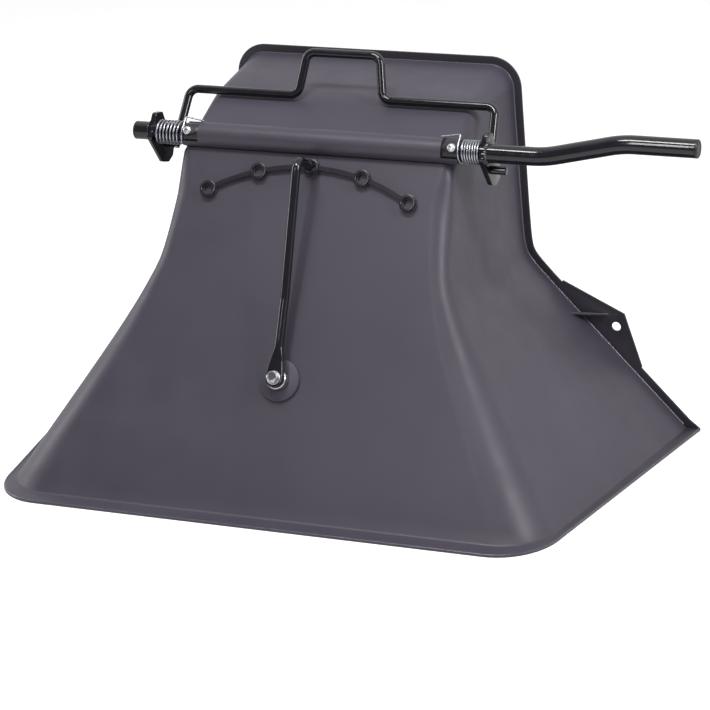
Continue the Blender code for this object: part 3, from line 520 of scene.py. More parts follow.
def side_half_width(y, z):
    """Outer face of the side wall. It blends from the back profile to the one at the panel."""
    share = min(max(y / panel_depth(z), 0.0), 1.0)
    rear_top = (ROOF_HEIGHT, REAR_TOP_HALF_WIDTH)
    rear_bend = (REAR_BEND_HEIGHT, REAR_BEND_HALF_WIDTH)
    rear = side_profile(z, rear_top, rear_bend, HALF_WIDTH - LIP_REAR_WIDTH, REAR_BEND_SOFTNESS)
    front_top = (FRONT_TOP_HEIGHT, FRONT_TOP_HALF_WIDTH)
    front_bend = (FRONT_BEND_HEIGHT, FRONT_BEND_HALF_WIDTH)
    front = side_profile(z, front_top, front_bend, FRONT_FOOT_HALF_WIDTH, FRONT_BEND_SOFTNESS)
    return rear + (front - rear) * share


def side_wall_x(y, z, inset):
    """The side wall's face, moved in by the inset at right angles to its slope."""
    above = side_half_width(y, z + SLOPE_STEP)
    slope = (above - side_half_width(y, z - SLOPE_STEP)) / (2 * SLOPE_STEP)
    return side_half_width(y, z) - inset * math.hypot(1, slope)


def roof_height(depth, inset):
    """Height of the roof this far in front of the back plane. It falls faster beyond its break."""
    extra = math.tan(ROOF_FRONT_SLOPE) - math.tan(ROOF_SLOPE)
    beyond_break = soft_positive(depth - ROOF_BREAK_DEPTH, ROOF_BREAK_SOFTNESS)
    fall = depth * math.tan(ROOF_SLOPE) + extra * beyond_break
    return ROOF_HEIGHT - fall - inset / math.cos(ROOF_SLOPE)


def where_it_turns_positive(value_at, low, high):
    """The place between low and high where a rising value passes zero."""
    for _ in range(40):
        middle = (low + high) / 2
        if value_at(middle) < 0:
            low = middle
        else:
            high = middle
    return high


def roof_distance(angle, inset):
    def above_roof(distance):
        return distance * math.cos(angle) - roof_height(distance * math.sin(angle), inset)

    return where_it_turns_positive(above_roof, 0, 2 * ROOF_HEIGHT)


def panel_distance(angle, inset):
    foot = PANEL_FOOT - inset / math.cos(PANEL_LEAN)
    return foot / (math.sin(angle) + math.tan(PANEL_LEAN) * math.cos(angle))


def crease_angle(inset):
    """Fan angle where the roof meets the panel."""

    def roof_beyond_panel(angle):
        return roof_distance(angle, inset) - panel_distance(angle, inset)

    return where_it_turns_positive(roof_beyond_panel, 0, math.pi / 3)


def fan_columns(angle, inset):
    """Half of the hood's section in the plane through the line Y = Z = 0 at this angle from the back plane,
    as (x, distance) from the bottom corner up the side, round the corner and to the middle."""
    top = min(roof_distance(angle, inset), panel_distance(angle, inset))
    reach = max(reach_at(angle) - inset, LEAST_CORNER_REACH)
    end = top - reach

    def wall(distance):
        return side_wall_x(-distance * math.sin(angle), distance * math.cos(angle), inset)

    share = min(angle / math.radians(45), 1.0)
    bend_height = REAR_BEND_HEIGHT + (FRONT_BEND_HEIGHT - REAR_BEND_HEIGHT) * share
    bend = bend_height / max(math.cos(angle), 0.1)
    low = min(BEND_START * bend, 0.80 * end)
    high = min(BEND_FINISH * bend, 0.93 * end)
    distances = [low * step for step in FLARE_STEPS]
    distances += [low + (high - low) * step / BEND_STEPS for step in range(BEND_STEPS)]
    distances += [high + (end - high) * step / UPPER_STEPS for step in range(UPPER_STEPS)]
    columns = [(wall(distance), distance) for distance in distances]
    slope = (wall(end + SLOPE_STEP) - wall(end - SLOPE_STEP)) / (2 * SLOPE_STEP)
    start = Vector((wall(end), end))
    corner = Vector((wall(end) + slope * reach, top))
    finish = Vector((corner.x - reach, top))
    turn = (corner - start).angle(finish - corner)
    weight = math.cos(turn / 2)
    for step in range(CORNER_STEPS + 1):
        share = step / CORNER_STEPS
        first = (1 - share) ** 2
        second = 2 * share * (1 - share) * weight
        third = share**2
        point = (start * first + corner * second + finish * third) / (first + second + third)
        columns.append((point.x, point.y))
    for step in range(1, FLAT_STEPS + 1):
        columns.append((finish.x * (1 - step / FLAT_STEPS), top))
    return columns


def fan_point(column, angle, inset):
    x, distance = fan_columns(angle, inset)[column]
    return Vector((x, -distance * math.sin(angle), distance * math.cos(angle)))


def angle_at_depth(column, depth):
    """Fan angle at which a column of the outer face is this far in front of the back plane."""
    angle = 0.02
    for _ in range(8):
        distance = fan_columns(angle, 0)[column][1]
        angle = math.asin(min(depth / distance, 0.9))
    return angle


def angle_at_height(column, height):
    """Fan angle at which a column of the outer face is this high."""
    angle = math.radians(85)
    for _ in range(8):
        distance = fan_columns(angle, 0)[column][1]
        angle = math.acos(min(height / distance, 0.9))
    return angle


def outward_normals(points, first_axis, second_axis):
    """Unit normals, in the plane of the two axes, of half an outline that runs from its foot to the
    middle."""
    normals = []
    for place in range(len(points)):
        before = points[max(place - 1, 0)]
        after = points[min(place + 1, len(points) - 1)]
        run = after - before
        normal = Vector((0.0, 0.0, 0.0))
        normal[first_axis] = abs(run[second_axis])
        normal[second_axis] = math.copysign(abs(run[first_axis]), points[-1][second_axis])
        if place == len(points) - 1:
            normal[first_axis] = 0
        normals.append(normal.normalized())
    return normals


def hood_rows():
    """Rows of points for the right half, as one closed loop of rows round the shell's edge: flange, outer
    face, lip, inner face. Each row runs from the bottom corner to the middle plane."""
    count = len(fan_columns(0.1, 0))
    rear_edge = [fan_point(column, 0.0, 0) for column in range(count)]
    foot_edge = [fan_point(column, math.pi / 2, 0) for column in range(count)]
    rear_normals = outward_normals(rear_edge, 0, 2)
    foot_normals = outward_normals(foot_edge, 0, 1)
    crease = crease_angle(0)
    inner_crease = crease_angle(WALL)
    tip = Vector((HALF_WIDTH, -FLANGE_THICKNESS, LIP_THICKNESS))
    pole = Vector((side_half_width(tip.y, tip.z), tip.y, tip.z))
    inner_corner = Vector((side_wall_x(0, 0, WALL), 0, 0))
    first = [Vector((tip.x, 0, tip.z)), tip] + [pole] * (RIM_TOP - 2)
    first += [tip, Vector((tip.x, tip.y, 0))] + [inner_corner] * (ROOF_ROWS + PANEL_ROWS + 1)
    columns = [first]
    for column in range(1, count):
        tip = rear_edge[column] + rear_normals[column] * FLANGE_WIDTH
        loop = [Vector((tip.x, 0, tip.z)), Vector((tip.x, -FLANGE_THICKNESS, tip.z))]
        normal = foot_normals[column]
        depth = abs(foot_edge[column].y)
        side = LIP_REAR_WIDTH + (LIP_CORNER_WIDTH - LIP_REAR_WIDTH) * depth / PANEL_FOOT
        width = side + (LIP_FRONT_WIDTH - side) * normal.y**2
        fillet = min(LIP_FILLET, 0.6 * width, 0.35 * depth)
        start = angle_at_depth(column, FLANGE_THICKNESS)
        finish = angle_at_height(column, LIP_THICKNESS + fillet)
        for row in range(ROOF_ROWS):
            loop.append(fan_point(column, start + (crease - start) * row / ROOF_ROWS, 0))
        loop[2].y = -FLANGE_THICKNESS
        for row in range(PANEL_ROWS + 1):
            loop.append(fan_point(column, crease + (finish - crease) * row / PANEL_ROWS, 0))
        middle = fan_point(column, angle_at_height(column, LIP_THICKNESS + 0.3 * fillet), 0)
        loop.append(middle + normal * (0.3 * fillet))
        root = fan_point(column, angle_at_height(column, LIP_THICKNESS), 0) + normal * fillet
        edge = foot_edge[column] + normal * width
        loop.append(Vector((root.x, root.y, LIP_THICKNESS)))
        loop.append(Vector((edge.x, edge.y, LIP_THICKNESS)))
        loop.append(Vector((edge.x, edge.y, 0)))
        for row in range(PANEL_ROWS):
            angle = math.pi / 2 + (inner_crease - math.pi / 2) * row / PANEL_ROWS
            loop.append(fan_point(column, angle, WALL))
        for row in range(ROOF_ROWS + 1):
            loop.append(fan_point(column, inner_crease * (1 - row / ROOF_ROWS), WALL))
        loop[-1].y = 0
        loop[-PANEL_ROWS - ROOF_ROWS - 1].z = 0
        columns.append(loop)
    return columns


def crease_place():
    """Frame on the middle of the crease between roof and panel: X across, Y up the panel, Z out of it."""
    angle = crease_angle(0)
    distance = panel_distance(angle, 0)
    middle = (0, -distance * math.sin(angle), distance * math.cos(angle))
    return Matrix.Translation(middle) @ panel_turn()


def panel_place():
    """The lever's frame: as the crease's, with its origin at the pivot on the panel's outer face."""
    return crease_place() @ Matrix.Translation((0, AXIS_UP - ARC_DROP - BOSS_ARC_RADIUS, 0))


def axis_place():
    """The tube's frame: origin in the middle of its axis, and no turn."""
    return Matrix.Translation(crease_place() @ Vector((0, AXIS_UP, AXIS_PROUD)))


def channel_place():
    """The tube's axis, with its origin in the middle of the channel."""
    return axis_place() @ Matrix.Translation((CHANNEL_OFFSET, 0, 0))


def boss_place(number):
    turn = BOSS_STEP * (number - (BOSS_COUNT - 1) / 2)
    return panel_place() @ Matrix.Rotation(-turn, 4, "Z") @ Matrix.Translation((0, BOSS_ARC_RADIUS, 0))


def channel():
    """The outside of the channel and of the cradles that go on from it under the bushes."""
    solid = cylinder(CHANNEL_RADIUS, -CRADLE_HALF_LENGTH, CRADLE_HALF_LENGTH)
    return moved(solid, channel_place() @ along_x())


def boss_rib(number):
    """One arc of rib from the middle of a boss to the middle of the next."""
    first = BOSS_STEP * (number - (BOSS_COUNT - 1) / 2)
    trim = 0.5 * BOSS_BORE_RADIUS / BOSS_ARC_RADIUS
    outer = []
    inner = []
    for step in range(RIB_STEPS + 1):
        angle = first + BOSS_STEP * step / RIB_STEPS
        angle = min(max(angle, first + trim), first + BOSS_STEP - trim)
        away = Vector((math.sin(angle), math.cos(angle)))
        outer.append(away * (BOSS_ARC_RADIUS + RIB_WIDTH / 2))
        inner.append(away * (BOSS_ARC_RADIUS - RIB_WIDTH / 2))
    return moved(prism(outer + inner[::-1], -WALL / 2, RIB_HEIGHT), panel_place())


def lug(side):
    """A side lug, as an outline in X and Z that reaches a little into the flange."""
    corners = [
        (LUG_TOP_X, LUG_TOP_Z),
        (LUG_CORNER_X, LUG_CORNER_Z),
        (LUG_FOOT_X, LUG_FOOT_Z),
        (LUG_FOOT_X - LUG_ROOT_DEPTH, LUG_FOOT_Z - LUG_FOOT_DROP),
        (LUG_TOP_X - LUG_ROOT_DEPTH / 2, LUG_TOP_Z - LUG_ROOT_DEPTH),
    ]
    return moved(prism([(side * x, z) for x, z in corners], 0, FLANGE_THICKNESS), towards_front())


def channel_bore():
    """The tube's bore, wider in the pockets, where the bushes sit."""
    bore = TUBE_RADIUS + CHANNEL_BORE_CLEARANCE
    pocket = BUSH_RADIUS + CLEARANCE
    near = CHANNEL_HALF_LENGTH
    end = CRADLE_HALF_LENGTH + 3 * THROUGH
    profile = [(0, -end), (pocket, -end), (pocket, -near), (bore, -near)]
    profile += [(radius, -x) for radius, x in reversed(profile)]
    return moved(turned(profile), channel_place() @ along_x())


def pocket_opening(side):
    """Opens a pocket to the front and the top, above a low ledge."""
    near = side * CHANNEL_HALF_LENGTH
    far = side * (CRADLE_HALF_LENGTH + 2 * THROUGH)
    outline = [(near, -POCKET_LOWER), (far, -POCKET_LOWER), (far, POCKET_UPPER), (near, POCKET_UPPER)]
    return moved(prism(outline, -POCKET_FLOOR, 2 * CHANNEL_RADIUS), channel_place() @ panel_turn())


def lug_hole(side):
    hole = cylinder(LUG_HOLE_RADIUS, -FLANGE_THICKNESS, 2 * FLANGE_THICKNESS, 20)
    return moved(hole, Matrix.Translation((side * LUG_HOLE_X, 0, LUG_HOLE_Z)) @ towards_front())


def bolt_hole():
    hole = cylinder(BOLT_RADIUS + BOLT_HOLE_CLEARANCE, -2 * THROUGH, 2 * THROUGH, 20)
    return moved(hole, panel_place())


def screw_place(side):
    """Frame of a bush screw: origin on the tube's axis, Z out at right angles to the panel."""
    return channel_place() @ Matrix.Translation((side * SCREW_X, 0, 0)) @ panel_turn()


def spring_path(outer_end):
    """The right spring's wire: over the channel, down to the coil, round it and off to the back."""
    start_angle = math.radians(135)
    end_angle = math.radians(270) + 2 * math.pi * SPRING_TURNS
    first = Vector((SPRING_INNER_END, math.cos(start_angle) * SPRING_MEAN_RADIUS, 0))
    first.z = math.sin(start_angle) * SPRING_MEAN_RADIUS
    top = first + Vector((0, math.sin(start_angle), -math.cos(start_angle))) * SPRING_LEG_RISE
    rest_height = CHANNEL_RADIUS + SPRING_WIRE_RADIUS + CLEARANCE
    end = Vector((CHANNEL_HALF_LENGTH - SPRING_LEG_OVERLAP, SPRING_LEG_BACK, rest_height))
    path = rounded([end, top, first], 2 * SPRING_WIRE_RADIUS, 8, closed=False)[:-1]
    steps = SPRING_STEPS * SPRING_TURNS
    for step in range(steps + 1):
        share = step / steps
        angle = start_angle + (end_angle - start_angle) * share
        first_turn = FIRST_TURN_EXTRA * min(SPRING_TURNS * share, 1)
        x = SPRING_INNER_END + first_turn + (outer_end - FIRST_TURN_EXTRA - SPRING_INNER_END) * share
        y = math.cos(angle) * SPRING_MEAN_RADIUS
        path.append(Vector((x, y, math.sin(angle) * SPRING_MEAN_RADIUS)))
    path.append(path[-1] + Vector((0, SPRING_TAIL, 0)))
    return path


def eye_low():
    """Height of the lever's eye over the panel."""
    return PAD_HEIGHT + 2 * CLEARANCE + SPACER_HEIGHT


def vane_base_top():
    return -WALL - 2 * CLEARANCE - WASHER_THICKNESS


def nut_top():
    return vane_base_top() - VANE_BASE_THICKNESS - CLEARANCE


def body_place():
    """Puts the middle of the bounding box's bottom face at the world's origin."""
    right_end = TUBE_RIGHT_END + CLEARANCE + PLUG_HEAD
    front = PANEL_FOOT + LIP_FRONT_WIDTH
    return Matrix.Translation(((HALF_WIDTH - right_end) / 2, front / 2, 0))


def mesh_object(name, solids, place=None):
    """One object, in world coordinates, from a list of (points, faces) solids that don't touch each other.
    Their points are in the place's frame, or in the hood's own frame where no place is given."""
    to_world = body_place() @ place if place else body_place()
    mesh = bpy.data.meshes.new(name)
    shape = bmesh.new()
    for points, faces in solids:
        corners = [shape.verts.new(to_world @ Vector(point)) for point in points]
        for face in faces:
            shape.faces.new([corners[index] for index in face])
    bmesh.ops.remove_doubles(shape, verts=shape.verts, dist=1e-7)
    bmesh.ops.recalc_face_normals(shape, faces=shape.faces)
    shape.to_mesh(mesh)
    shape.free()
    made = bpy.data.objects.new(name, mesh)
    bpy.context.scene.collection.objects.link(made)
    return made


def baked(made):
    """Turns the object's modifiers into its mesh."""
    graph = bpy.context.evaluated_depsgraph_get()
    mesh = bpy.data.meshes.new_from_object(made.evaluated_get(graph))
    made.modifiers.clear()
    made.data = mesh


def boolean(target, operation, solids, place):
    other = mesh_object("cutter", solids, place)
    change = target.modifiers.new(operation, "BOOLEAN")
    change.operation = operation
    change.solver = "EXACT"
    change.object = other
    baked(target)
    bpy.data.objects.remove(other, do_unlink=True)


def join(target, solids, place=None):
    boolean(target, "UNION", solids, place)


def cut(target, solids, place=None):
    boolean(target, "DIFFERENCE", solids, place)


def soft_edges(made, width, segments=2):
    change = made.modifiers.new("edges", "BEVEL")
    change.width = width
    change.segments = segments
    change.limit_method = "ANGLE"
    change.angle_limit = math.radians(40)
    change.use_clamp_overlap = True
    baked(made)


def finished(made, surface, body, slot, *nodes):
    """Gives the piece its material, and puts it on its body in place of the nodes."""
    made.data.materials.clear()
    made.data.materials.append(surface)
    made.data.shade_smooth()
    made.data.set_sharp_from_angle(angle=EDGE_ANGLE)
    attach(made, body)
    if nodes:
        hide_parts(*nodes)


def softened(loop, corners, round_them):
    """The loop with its rim corners turned into small arcs."""
    path = []
    for place, point in enumerate(loop):
        if place not in corners:
            path.append(point)
            continue
        back = loop[place - 1] - point
        ahead = loop[(place + 1) % len(loop)] - point
        reach = min(RIM_RADIUS, 0.45 * back.length, 0.45 * ahead.length) if round_them else 0
        for step in range(RIM_STEPS + 1):
            share = step / RIM_STEPS
            bend = back.normalized() * (reach * (1 - share) ** 2) + ahead.normalized() * (reach * share**2)
            path.append(point + bend)
    return path


def hood_shell():
    """The shell with its flange and lip, as one closed mesh with softened rims. Its two bottom corners end
    in a small square."""
    rim_corners = (0, 1, RIM_TOP, RIM_TOP + 1)
    half = [softened(loop, rim_corners, place > 0) for place, loop in enumerate(hood_rows())]
    columns = half + [mirrored(loop) for loop in half[-2::-1]]
    rows = len(half[0])
    points = [point for loop in columns for point in loop]
    lip_bottom = RIM_TOP + 1 + 4 * RIM_STEPS
    faces = []
    for column in range(len(columns) - 1):
        at_end = column in (0, len(columns) - 2)
        for row in range(rows):
            if at_end and row in (lip_bottom, rows - 1):
                continue
            after = (row + 1) % rows
            here = column * rows
            there = here + rows
            faces.append([here + row, here + after, there + after, there + row])
    for column, inward in ((0, 1), (len(columns) - 1, -1)):
        here = column * rows
        there = here + inward * rows
        corner = len(points)
        points.append(Vector((columns[column][0].x, 0, 0)))
        inner = here + rows - 1
        faces.append([here + lip_bottom, there + lip_bottom, there + lip_bottom + 1, inner, corner])
        faces.append([here, there, there + rows - 1, inner, corner])
        faces.append([here, here + RIM_STEPS + 1, here + lip_bottom, corner])
    return without_doubles(points, faces)


def without_doubles(points, faces):
    """The same solid with points that coincide made one, and without the faces that this closes."""
    kept = []
    places = {}
    index = []
    for point in points:
        key = tuple(round(value, 7) for value in point)
        if key not in places:
            places[key] = len(kept)
            kept.append(point)
        index.append(places[key])
    clean = [list(dict.fromkeys(index[corner] for corner in face)) for face in faces]
    return kept, [face for face in clean if len(face) > 2]


def gusset(side):
    """A thin three-cornered web from the lug's front face to the flared side, which rises to the front."""
    back = -FLANGE_THICKNESS / 2
    corners = [Vector((side * GUSSET_TIP_X, back, GUSSET_TIP_Z))]
    for depth, height in ((-GUSSET_FRONT, GUSSET_UPPER_Z), (back, GUSSET_TIP_Z)):
        corners.append(Vector((side * (side_half_width(depth, height) - WALL / 2), depth, height)))
    normal = (corners[1] - corners[0]).cross(corners[2] - corners[0]).normalized()
    down = normal * math.copysign(GUSSET_THICKNESS, -normal.z)
    points = corners + [corner + down for corner in corners]
    return points, [[0, 1, 2], [3, 4, 5], [0, 1, 4, 3], [1, 2, 5, 4], [2, 0, 3, 5]]


def rim_bead(surface):
    """The fine raised line along the crease between the shell and its rear flange."""
    half = [loop[2] for loop in hood_rows() if loop[2].z > LIP_THICKNESS + 2 * BEAD_RADIUS]
    made = mesh_object("rim_bead", [rod(half + mirrored(half[-2::-1]), BEAD_RADIUS, BEAD_SIDES)])
    finished(made, surface, "deflector", "hood_plastic")


def lip_bead(surface):
    """The raised outer edge of the bottom lip."""
    half = []
    for loop in hood_rows():
        edge = loop[RIM_TOP]
        inward = (loop[RIM_TOP - 1] - edge).normalized() * BEAD_RADIUS
        half.append(edge + inward - Vector((0, 0, 0.4 * BEAD_RADIUS)))
    made = mesh_object("lip_bead", [rod(half + mirrored(half[-2::-1]), BEAD_RADIUS, BEAD_SIDES)])
    finished(made, surface, "deflector", "hood_plastic")


def gusset_bead(name, side, surface):
    """The rounded upper edge of a gusset."""
    tip, front = gusset(side)[0][:2]
    made = mesh_object(name, [rod([tip, (tip + front) / 2, front], GUSSET_THICKNESS / 2, BEAD_SIDES)])
    finished(made, surface, "deflector", "hood_plastic")


def raised_disc(radius, height, edge):
    """A disc on the panel, with its root in the wall and a softened edge."""
    bevel = [(radius, height - edge), (radius - 0.3 * edge, height - 0.3 * edge), (radius - edge, height)]
    return turned([(0, -WALL / 2), (radius, -WALL / 2)] + bevel + [(0, height)])


def boss_bore(number):
    """A boss's blind bore, narrower below a small step, with a softened mouth."""
    mouth = BOSS_BORE_RADIUS + 0.6 * BOSS_EDGE
    profile = [(0, BOSS_FLOOR), (BOSS_STEP_RADIUS, BOSS_FLOOR), (BOSS_STEP_RADIUS, BOSS_STEP_HEIGHT)]
    profile += [(BOSS_BORE_RADIUS, BOSS_STEP_HEIGHT), (BOSS_BORE_RADIUS, BOSS_HEIGHT - 0.5 * BOSS_EDGE)]
    profile += [(mouth, BOSS_HEIGHT + 0.1 * BOSS_EDGE), (mouth, 2 * BOSS_HEIGHT), (0, 2 * BOSS_HEIGHT)]
    return moved(turned(profile, 40), boss_place(number))


def hood(surface):
    made = mesh_object("deflector_hood", [hood_shell()])
    pad = moved(raised_disc(PAD_RADIUS, PAD_HEIGHT, PAD_EDGE), panel_place())
    raised = [channel(), pad, lug(-1), lug(1)]
    for number in range(BOSS_COUNT):
        raised.append(moved(raised_disc(BOSS_RADIUS, BOSS_HEIGHT, BOSS_EDGE), boss_place(number)))
    join(made, raised)
    join(made, [boss_rib(number) for number in range(BOSS_COUNT - 1)] + [gusset(-1), gusset(1)])
    cut(made, [pocket_opening(-1), pocket_opening(1)])
    bores = [boss_bore(number) for number in range(BOSS_COUNT)]
    cut(made, [channel_bore(), bolt_hole(), lug_hole(-1), lug_hole(1)] + bores)
    finished(made, surface, "deflector", "hood_plastic", "hood")


def pivot_tube(surface):
    corners = [(-TUBE_LEFT_END, 0, 0), (CRANK_START, 0, 0)]
    corners += [(CRANK_END, 0, CRANK_RISE), (TUBE_RIGHT_END, 0, CRANK_RISE)]
    path = rounded(corners, CRANK_BEND_RADIUS, 16, closed=False)
    made = mesh_object("cranked_tube", [pipe(path, TUBE_RADIUS, TUBE_WALL)], axis_place())
    finished(made, surface, "pull_bar", "black_paint", "pivot_tube")


def weld_ring(name, side, surface):
    """A rippled weld bead between a latch plate's outer face and the tube."""
    start = PLATE_INNER_FACE + PLATE_THICKNESS
    steps = 6 * WELD_RIPPLES
    points = []
    faces = []
    for step in range(steps):
        angle = 2 * math.pi * step / steps
        size = WELD_SIZE * (0.78 + 0.22 * abs(math.sin(angle * WELD_RIPPLES / 2)))
        section = [(0, -WELD_SINK), (0, size), (0.5 * size, 0.62 * size), (0.85 * size, 0.25 * size)]
        for x, rise in section + [(size, -WELD_SINK)]:
            radius = TUBE_RADIUS + rise
            points.append(Vector((side * (start + x), radius * math.cos(angle), radius * math.sin(angle))))
    for step in range(steps):
        here = 5 * step
        there = 5 * ((step + 1) % steps)
        for place in range(5):
            following = (place + 1) % 5
            faces.append([here + place, here + following, there + following, there + place])
    finished(mesh_object(name, [(points, faces)], axis_place()), surface, "pull_bar", "black_paint")


def tube_plug(name, node, place, surface):
    """A plug with a rounded head and a fine ring sunk into its face."""
    shank = TUBE_RADIUS - TUBE_WALL - CLEARANCE
    rim = TUBE_RADIUS - 0.6 * PLUG_HEAD
    face = CLEARANCE + PLUG_HEAD
    profile = [(0, -PLUG_SHANK), (shank - 0.001, -PLUG_SHANK), (shank, 0.001 - PLUG_SHANK)]
    profile += [(shank, CLEARANCE), (TUBE_RADIUS, CLEARANCE), (TUBE_RADIUS, CLEARANCE + 0.4 * PLUG_HEAD)]
    profile.append((TUBE_RADIUS - 0.12 * PLUG_HEAD, CLEARANCE + 0.7 * PLUG_HEAD))
    profile.append((TUBE_RADIUS - 0.35 * PLUG_HEAD, CLEARANCE + 0.92 * PLUG_HEAD))
    profile += [(rim, face), (rim - 0.002, face)]
    profile += [(rim - 0.0023, face - PLUG_GROOVE), (rim - 0.0030, face - PLUG_GROOVE)]
    profile += [(rim - 0.0033, face - 0.2 * PLUG_GROOVE), (0, face)]
    made = mesh_object(name, [moved(turned(profile), place)], axis_place())
    finished(made, surface, "pull_bar", "black_plastic", node)


def latch_plate(name, node, side, surface):
    corners = [(y, z, 0) for y, z in PLATE_CORNERS]
    outline = [(point.x, point.y) for point in rounded(corners, PLATE_CORNER_RADIUS, 8)]
    stand = Matrix(((0, 0, side, side * PLATE_INNER_FACE), (1, 0, 0, 0), (0, 1, 0, 0), (0, 0, 0, 1)))
    made = mesh_object(name, [moved(prism(outline, 0, PLATE_THICKNESS), stand)], axis_place())
    reach = PLATE_INNER_FACE + PLATE_THICKNESS + THROUGH
    cut(made, [moved(cylinder(TUBE_RADIUS + CLEARANCE, -reach, reach), along_x())], axis_place())
    soft_edges(made, PLATE_EDGE, 3)
    finished(made, surface, "pull_bar", "black_paint", node)


def latch_peg(surface):
    profile = [(0, 0), (PEG_RADIUS, 0), (PEG_RADIUS, PEG_LENGTH - PEG_EDGE)]
    for step in range(1, 7):
        angle = math.radians(15 * step)
        height = PEG_LENGTH - PEG_EDGE * (1 - math.sin(angle))
        profile.append((PEG_RADIUS - PEG_EDGE * (1 - math.cos(angle)), height))
    profile.append((0, PEG_LENGTH))
    start = PLATE_INNER_FACE + PLATE_THICKNESS + CLEARANCE
    place = Matrix.Translation((start, PEG_BACK, -PEG_DROP)) @ along_x()
    made = mesh_object("plate_peg", [moved(turned(profile), place)], axis_place())
    finished(made, surface, "pull_bar", "black_paint", "latch_peg")


def bail_corners():
    """The bail's corners from its right foot over the grip to its left foot."""
    right = [
        (PLATE_INNER_FACE - CLEARANCE - BAIL_RADIUS, BAIL_FOOT_BACK, -BAIL_FOOT_DROP),
        (BAIL_CORNER_X, BAIL_BAR_BACK, BAIL_BAR_RISE),
        (BAIL_GRIP_FOOT_X, BAIL_BAR_BACK, BAIL_BAR_RISE),
        (BAIL_GRIP_TOP_X, BAIL_GRIP_BACK, BAIL_GRIP_RISE),
    ]
    return right + [(-x, y, z) for x, y, z in reversed(right)]


def pull_bail(surface):
    path = rounded(bail_corners(), BAIL_BEND_RADIUS, 14, closed=False)
    made = mesh_object("bent_bail", [rod(path, BAIL_RADIUS)], axis_place())
    finished(made, surface, "pull_bar", "black_paint", "pull_bail")


def bail_weld(name, side, surface):
    """Two rippled beads that join the bail's foot to the inner face of a latch plate."""
    foot, corner = (Vector(point) for point in bail_corners()[:2])
    along = (corner - foot).normalized()
    across = along.cross(Vector((1, 0, 0))).normalized()
    steps = range(BAIL_WELD_STEPS + 1)
    radii = [BAIL_WELD_RADIUS + BAIL_WELD_RIPPLE * abs(math.sin(0.9 * step)) for step in steps]
    beads = []
    for edge in (-1, 1):
        path = []
        for step in steps:
            reach = BAIL_WELD_START + BAIL_WELD_LENGTH * step / BAIL_WELD_STEPS
            centre = foot + along * reach + across * (edge * 0.62 * BAIL_RADIUS)
            path.append(Vector((side * (PLATE_INNER_FACE - BAIL_WELD_INSET), centre.y, centre.z)))
        beads.append(rod(path, radii, 10))
    finished(mesh_object(name, beads, axis_place()), surface, "pull_bar", "black_paint")


def bearing_bush(name, node, side, surface):
    """A sleeve round the tube, with a raised seat for its screw that is rounded towards the bush's end."""
    start = CHANNEL_HALF_LENGTH + CLEARANCE
    ends = sorted((side * start, side * BUSH_OUTER_END))
    sleeve = collar(TUBE_RADIUS + CLEARANCE, BUSH_RADIUS, *ends)
    made = mesh_object(name, [moved(sleeve, channel_place() @ along_x())])
    radius = min(BUSH_BOSS_RADIUS, BUSH_OUTER_END - SCREW_X)
    outline = [(-side * (SCREW_X - start - BUSH_SEAT_INSET), 0.0)]
    for step in range(33):
        angle = math.radians(-120 + 7.5 * step)
        outline.append((side * radius * math.cos(angle), radius * math.sin(angle)))
    join(made, [prism(outline, (TUBE_RADIUS + BUSH_RADIUS) / 2, BUSH_BOSS_HEIGHT)], screw_place(side))
    hole = cylinder(SCREW_SHANK_RADIUS + CLEARANCE, SCREW_HOLE_START, SCREW_HOLE_END, 24)
    cut(made, [hole], screw_place(side))
    soft_edges(made, BUSH_EDGE)
    finished(made, surface, "deflector", "black_plastic", node)


def bush_screw(name, node, side, surface):
    """A pan-head screw with a six-lobed recess."""
    seat = BUSH_BOSS_HEIGHT + CLEARANCE
    top = seat + SCREW_HEAD_HEIGHT
    profile = [(0, SCREW_SHANK_END), (SCREW_SHANK_RADIUS, SCREW_SHANK_END), (SCREW_SHANK_RADIUS, seat)]
    profile += [(SCREW_HEAD_RADIUS - 0.0002, seat), (SCREW_HEAD_RADIUS, seat + 0.0003)]
    profile.append((SCREW_HEAD_RADIUS, seat + SCREW_RIM))
    for step in range(1, 9):
        angle = math.radians(90 * step / 9)
        drop = (SCREW_HEAD_HEIGHT - SCREW_RIM) * (1 - math.sin(angle))
        profile.append((0.36 * SCREW_HEAD_RADIUS + 0.60 * SCREW_HEAD_RADIUS * math.cos(angle), top - drop))
    profile.append((0, top))
    made = mesh_object(name, [turned(profile, 48)], screw_place(side))
    lobes = []
    for step in range(48):
        angle = 2 * math.pi * step / 48
        radius = SCREW_RECESS_RADIUS * (0.88 + 0.12 * math.cos(6 * angle))
        lobes.append((radius * math.cos(angle), radius * math.sin(angle)))
    cut(made, [prism(lobes, top - SCREW_RECESS_DEPTH, top + 0.002)], screw_place(side))
    finished(made, surface, "deflector", "zinc", node)


def torsion_spring(name, node, side, surface):
    outer_end = RIGHT_SPRING_OUTER_END if side > 0 else LEFT_SPRING_OUTER_END
    path = [Vector((side * point.x, point.y, point.z)) for point in spring_path(outer_end)]
    made = mesh_object(name, [rod(path, SPRING_WIRE_RADIUS, WIRE_SIDES)], channel_place())
    finished(made, surface, "deflector", "spring_steel", node)


def resampled(path, spacing):
    """The same path with a point at least every spacing, and its length so far at each point."""
    points = [path[0]]
    lengths = [0.0]
    for before, after in zip(path, path[1:]):
        run = after - before
        count = max(math.ceil(run.length / spacing), 1)
        for step in range(1, count + 1):
            points.append(before + run * (step / count))
            lengths.append(lengths[-1] + run.length / count)
    return points, lengths


def eased(value, low, high):
    share = min(max((value - low) / (high - low), 0.0), 1.0)
    return share * share * (3 - 2 * share)


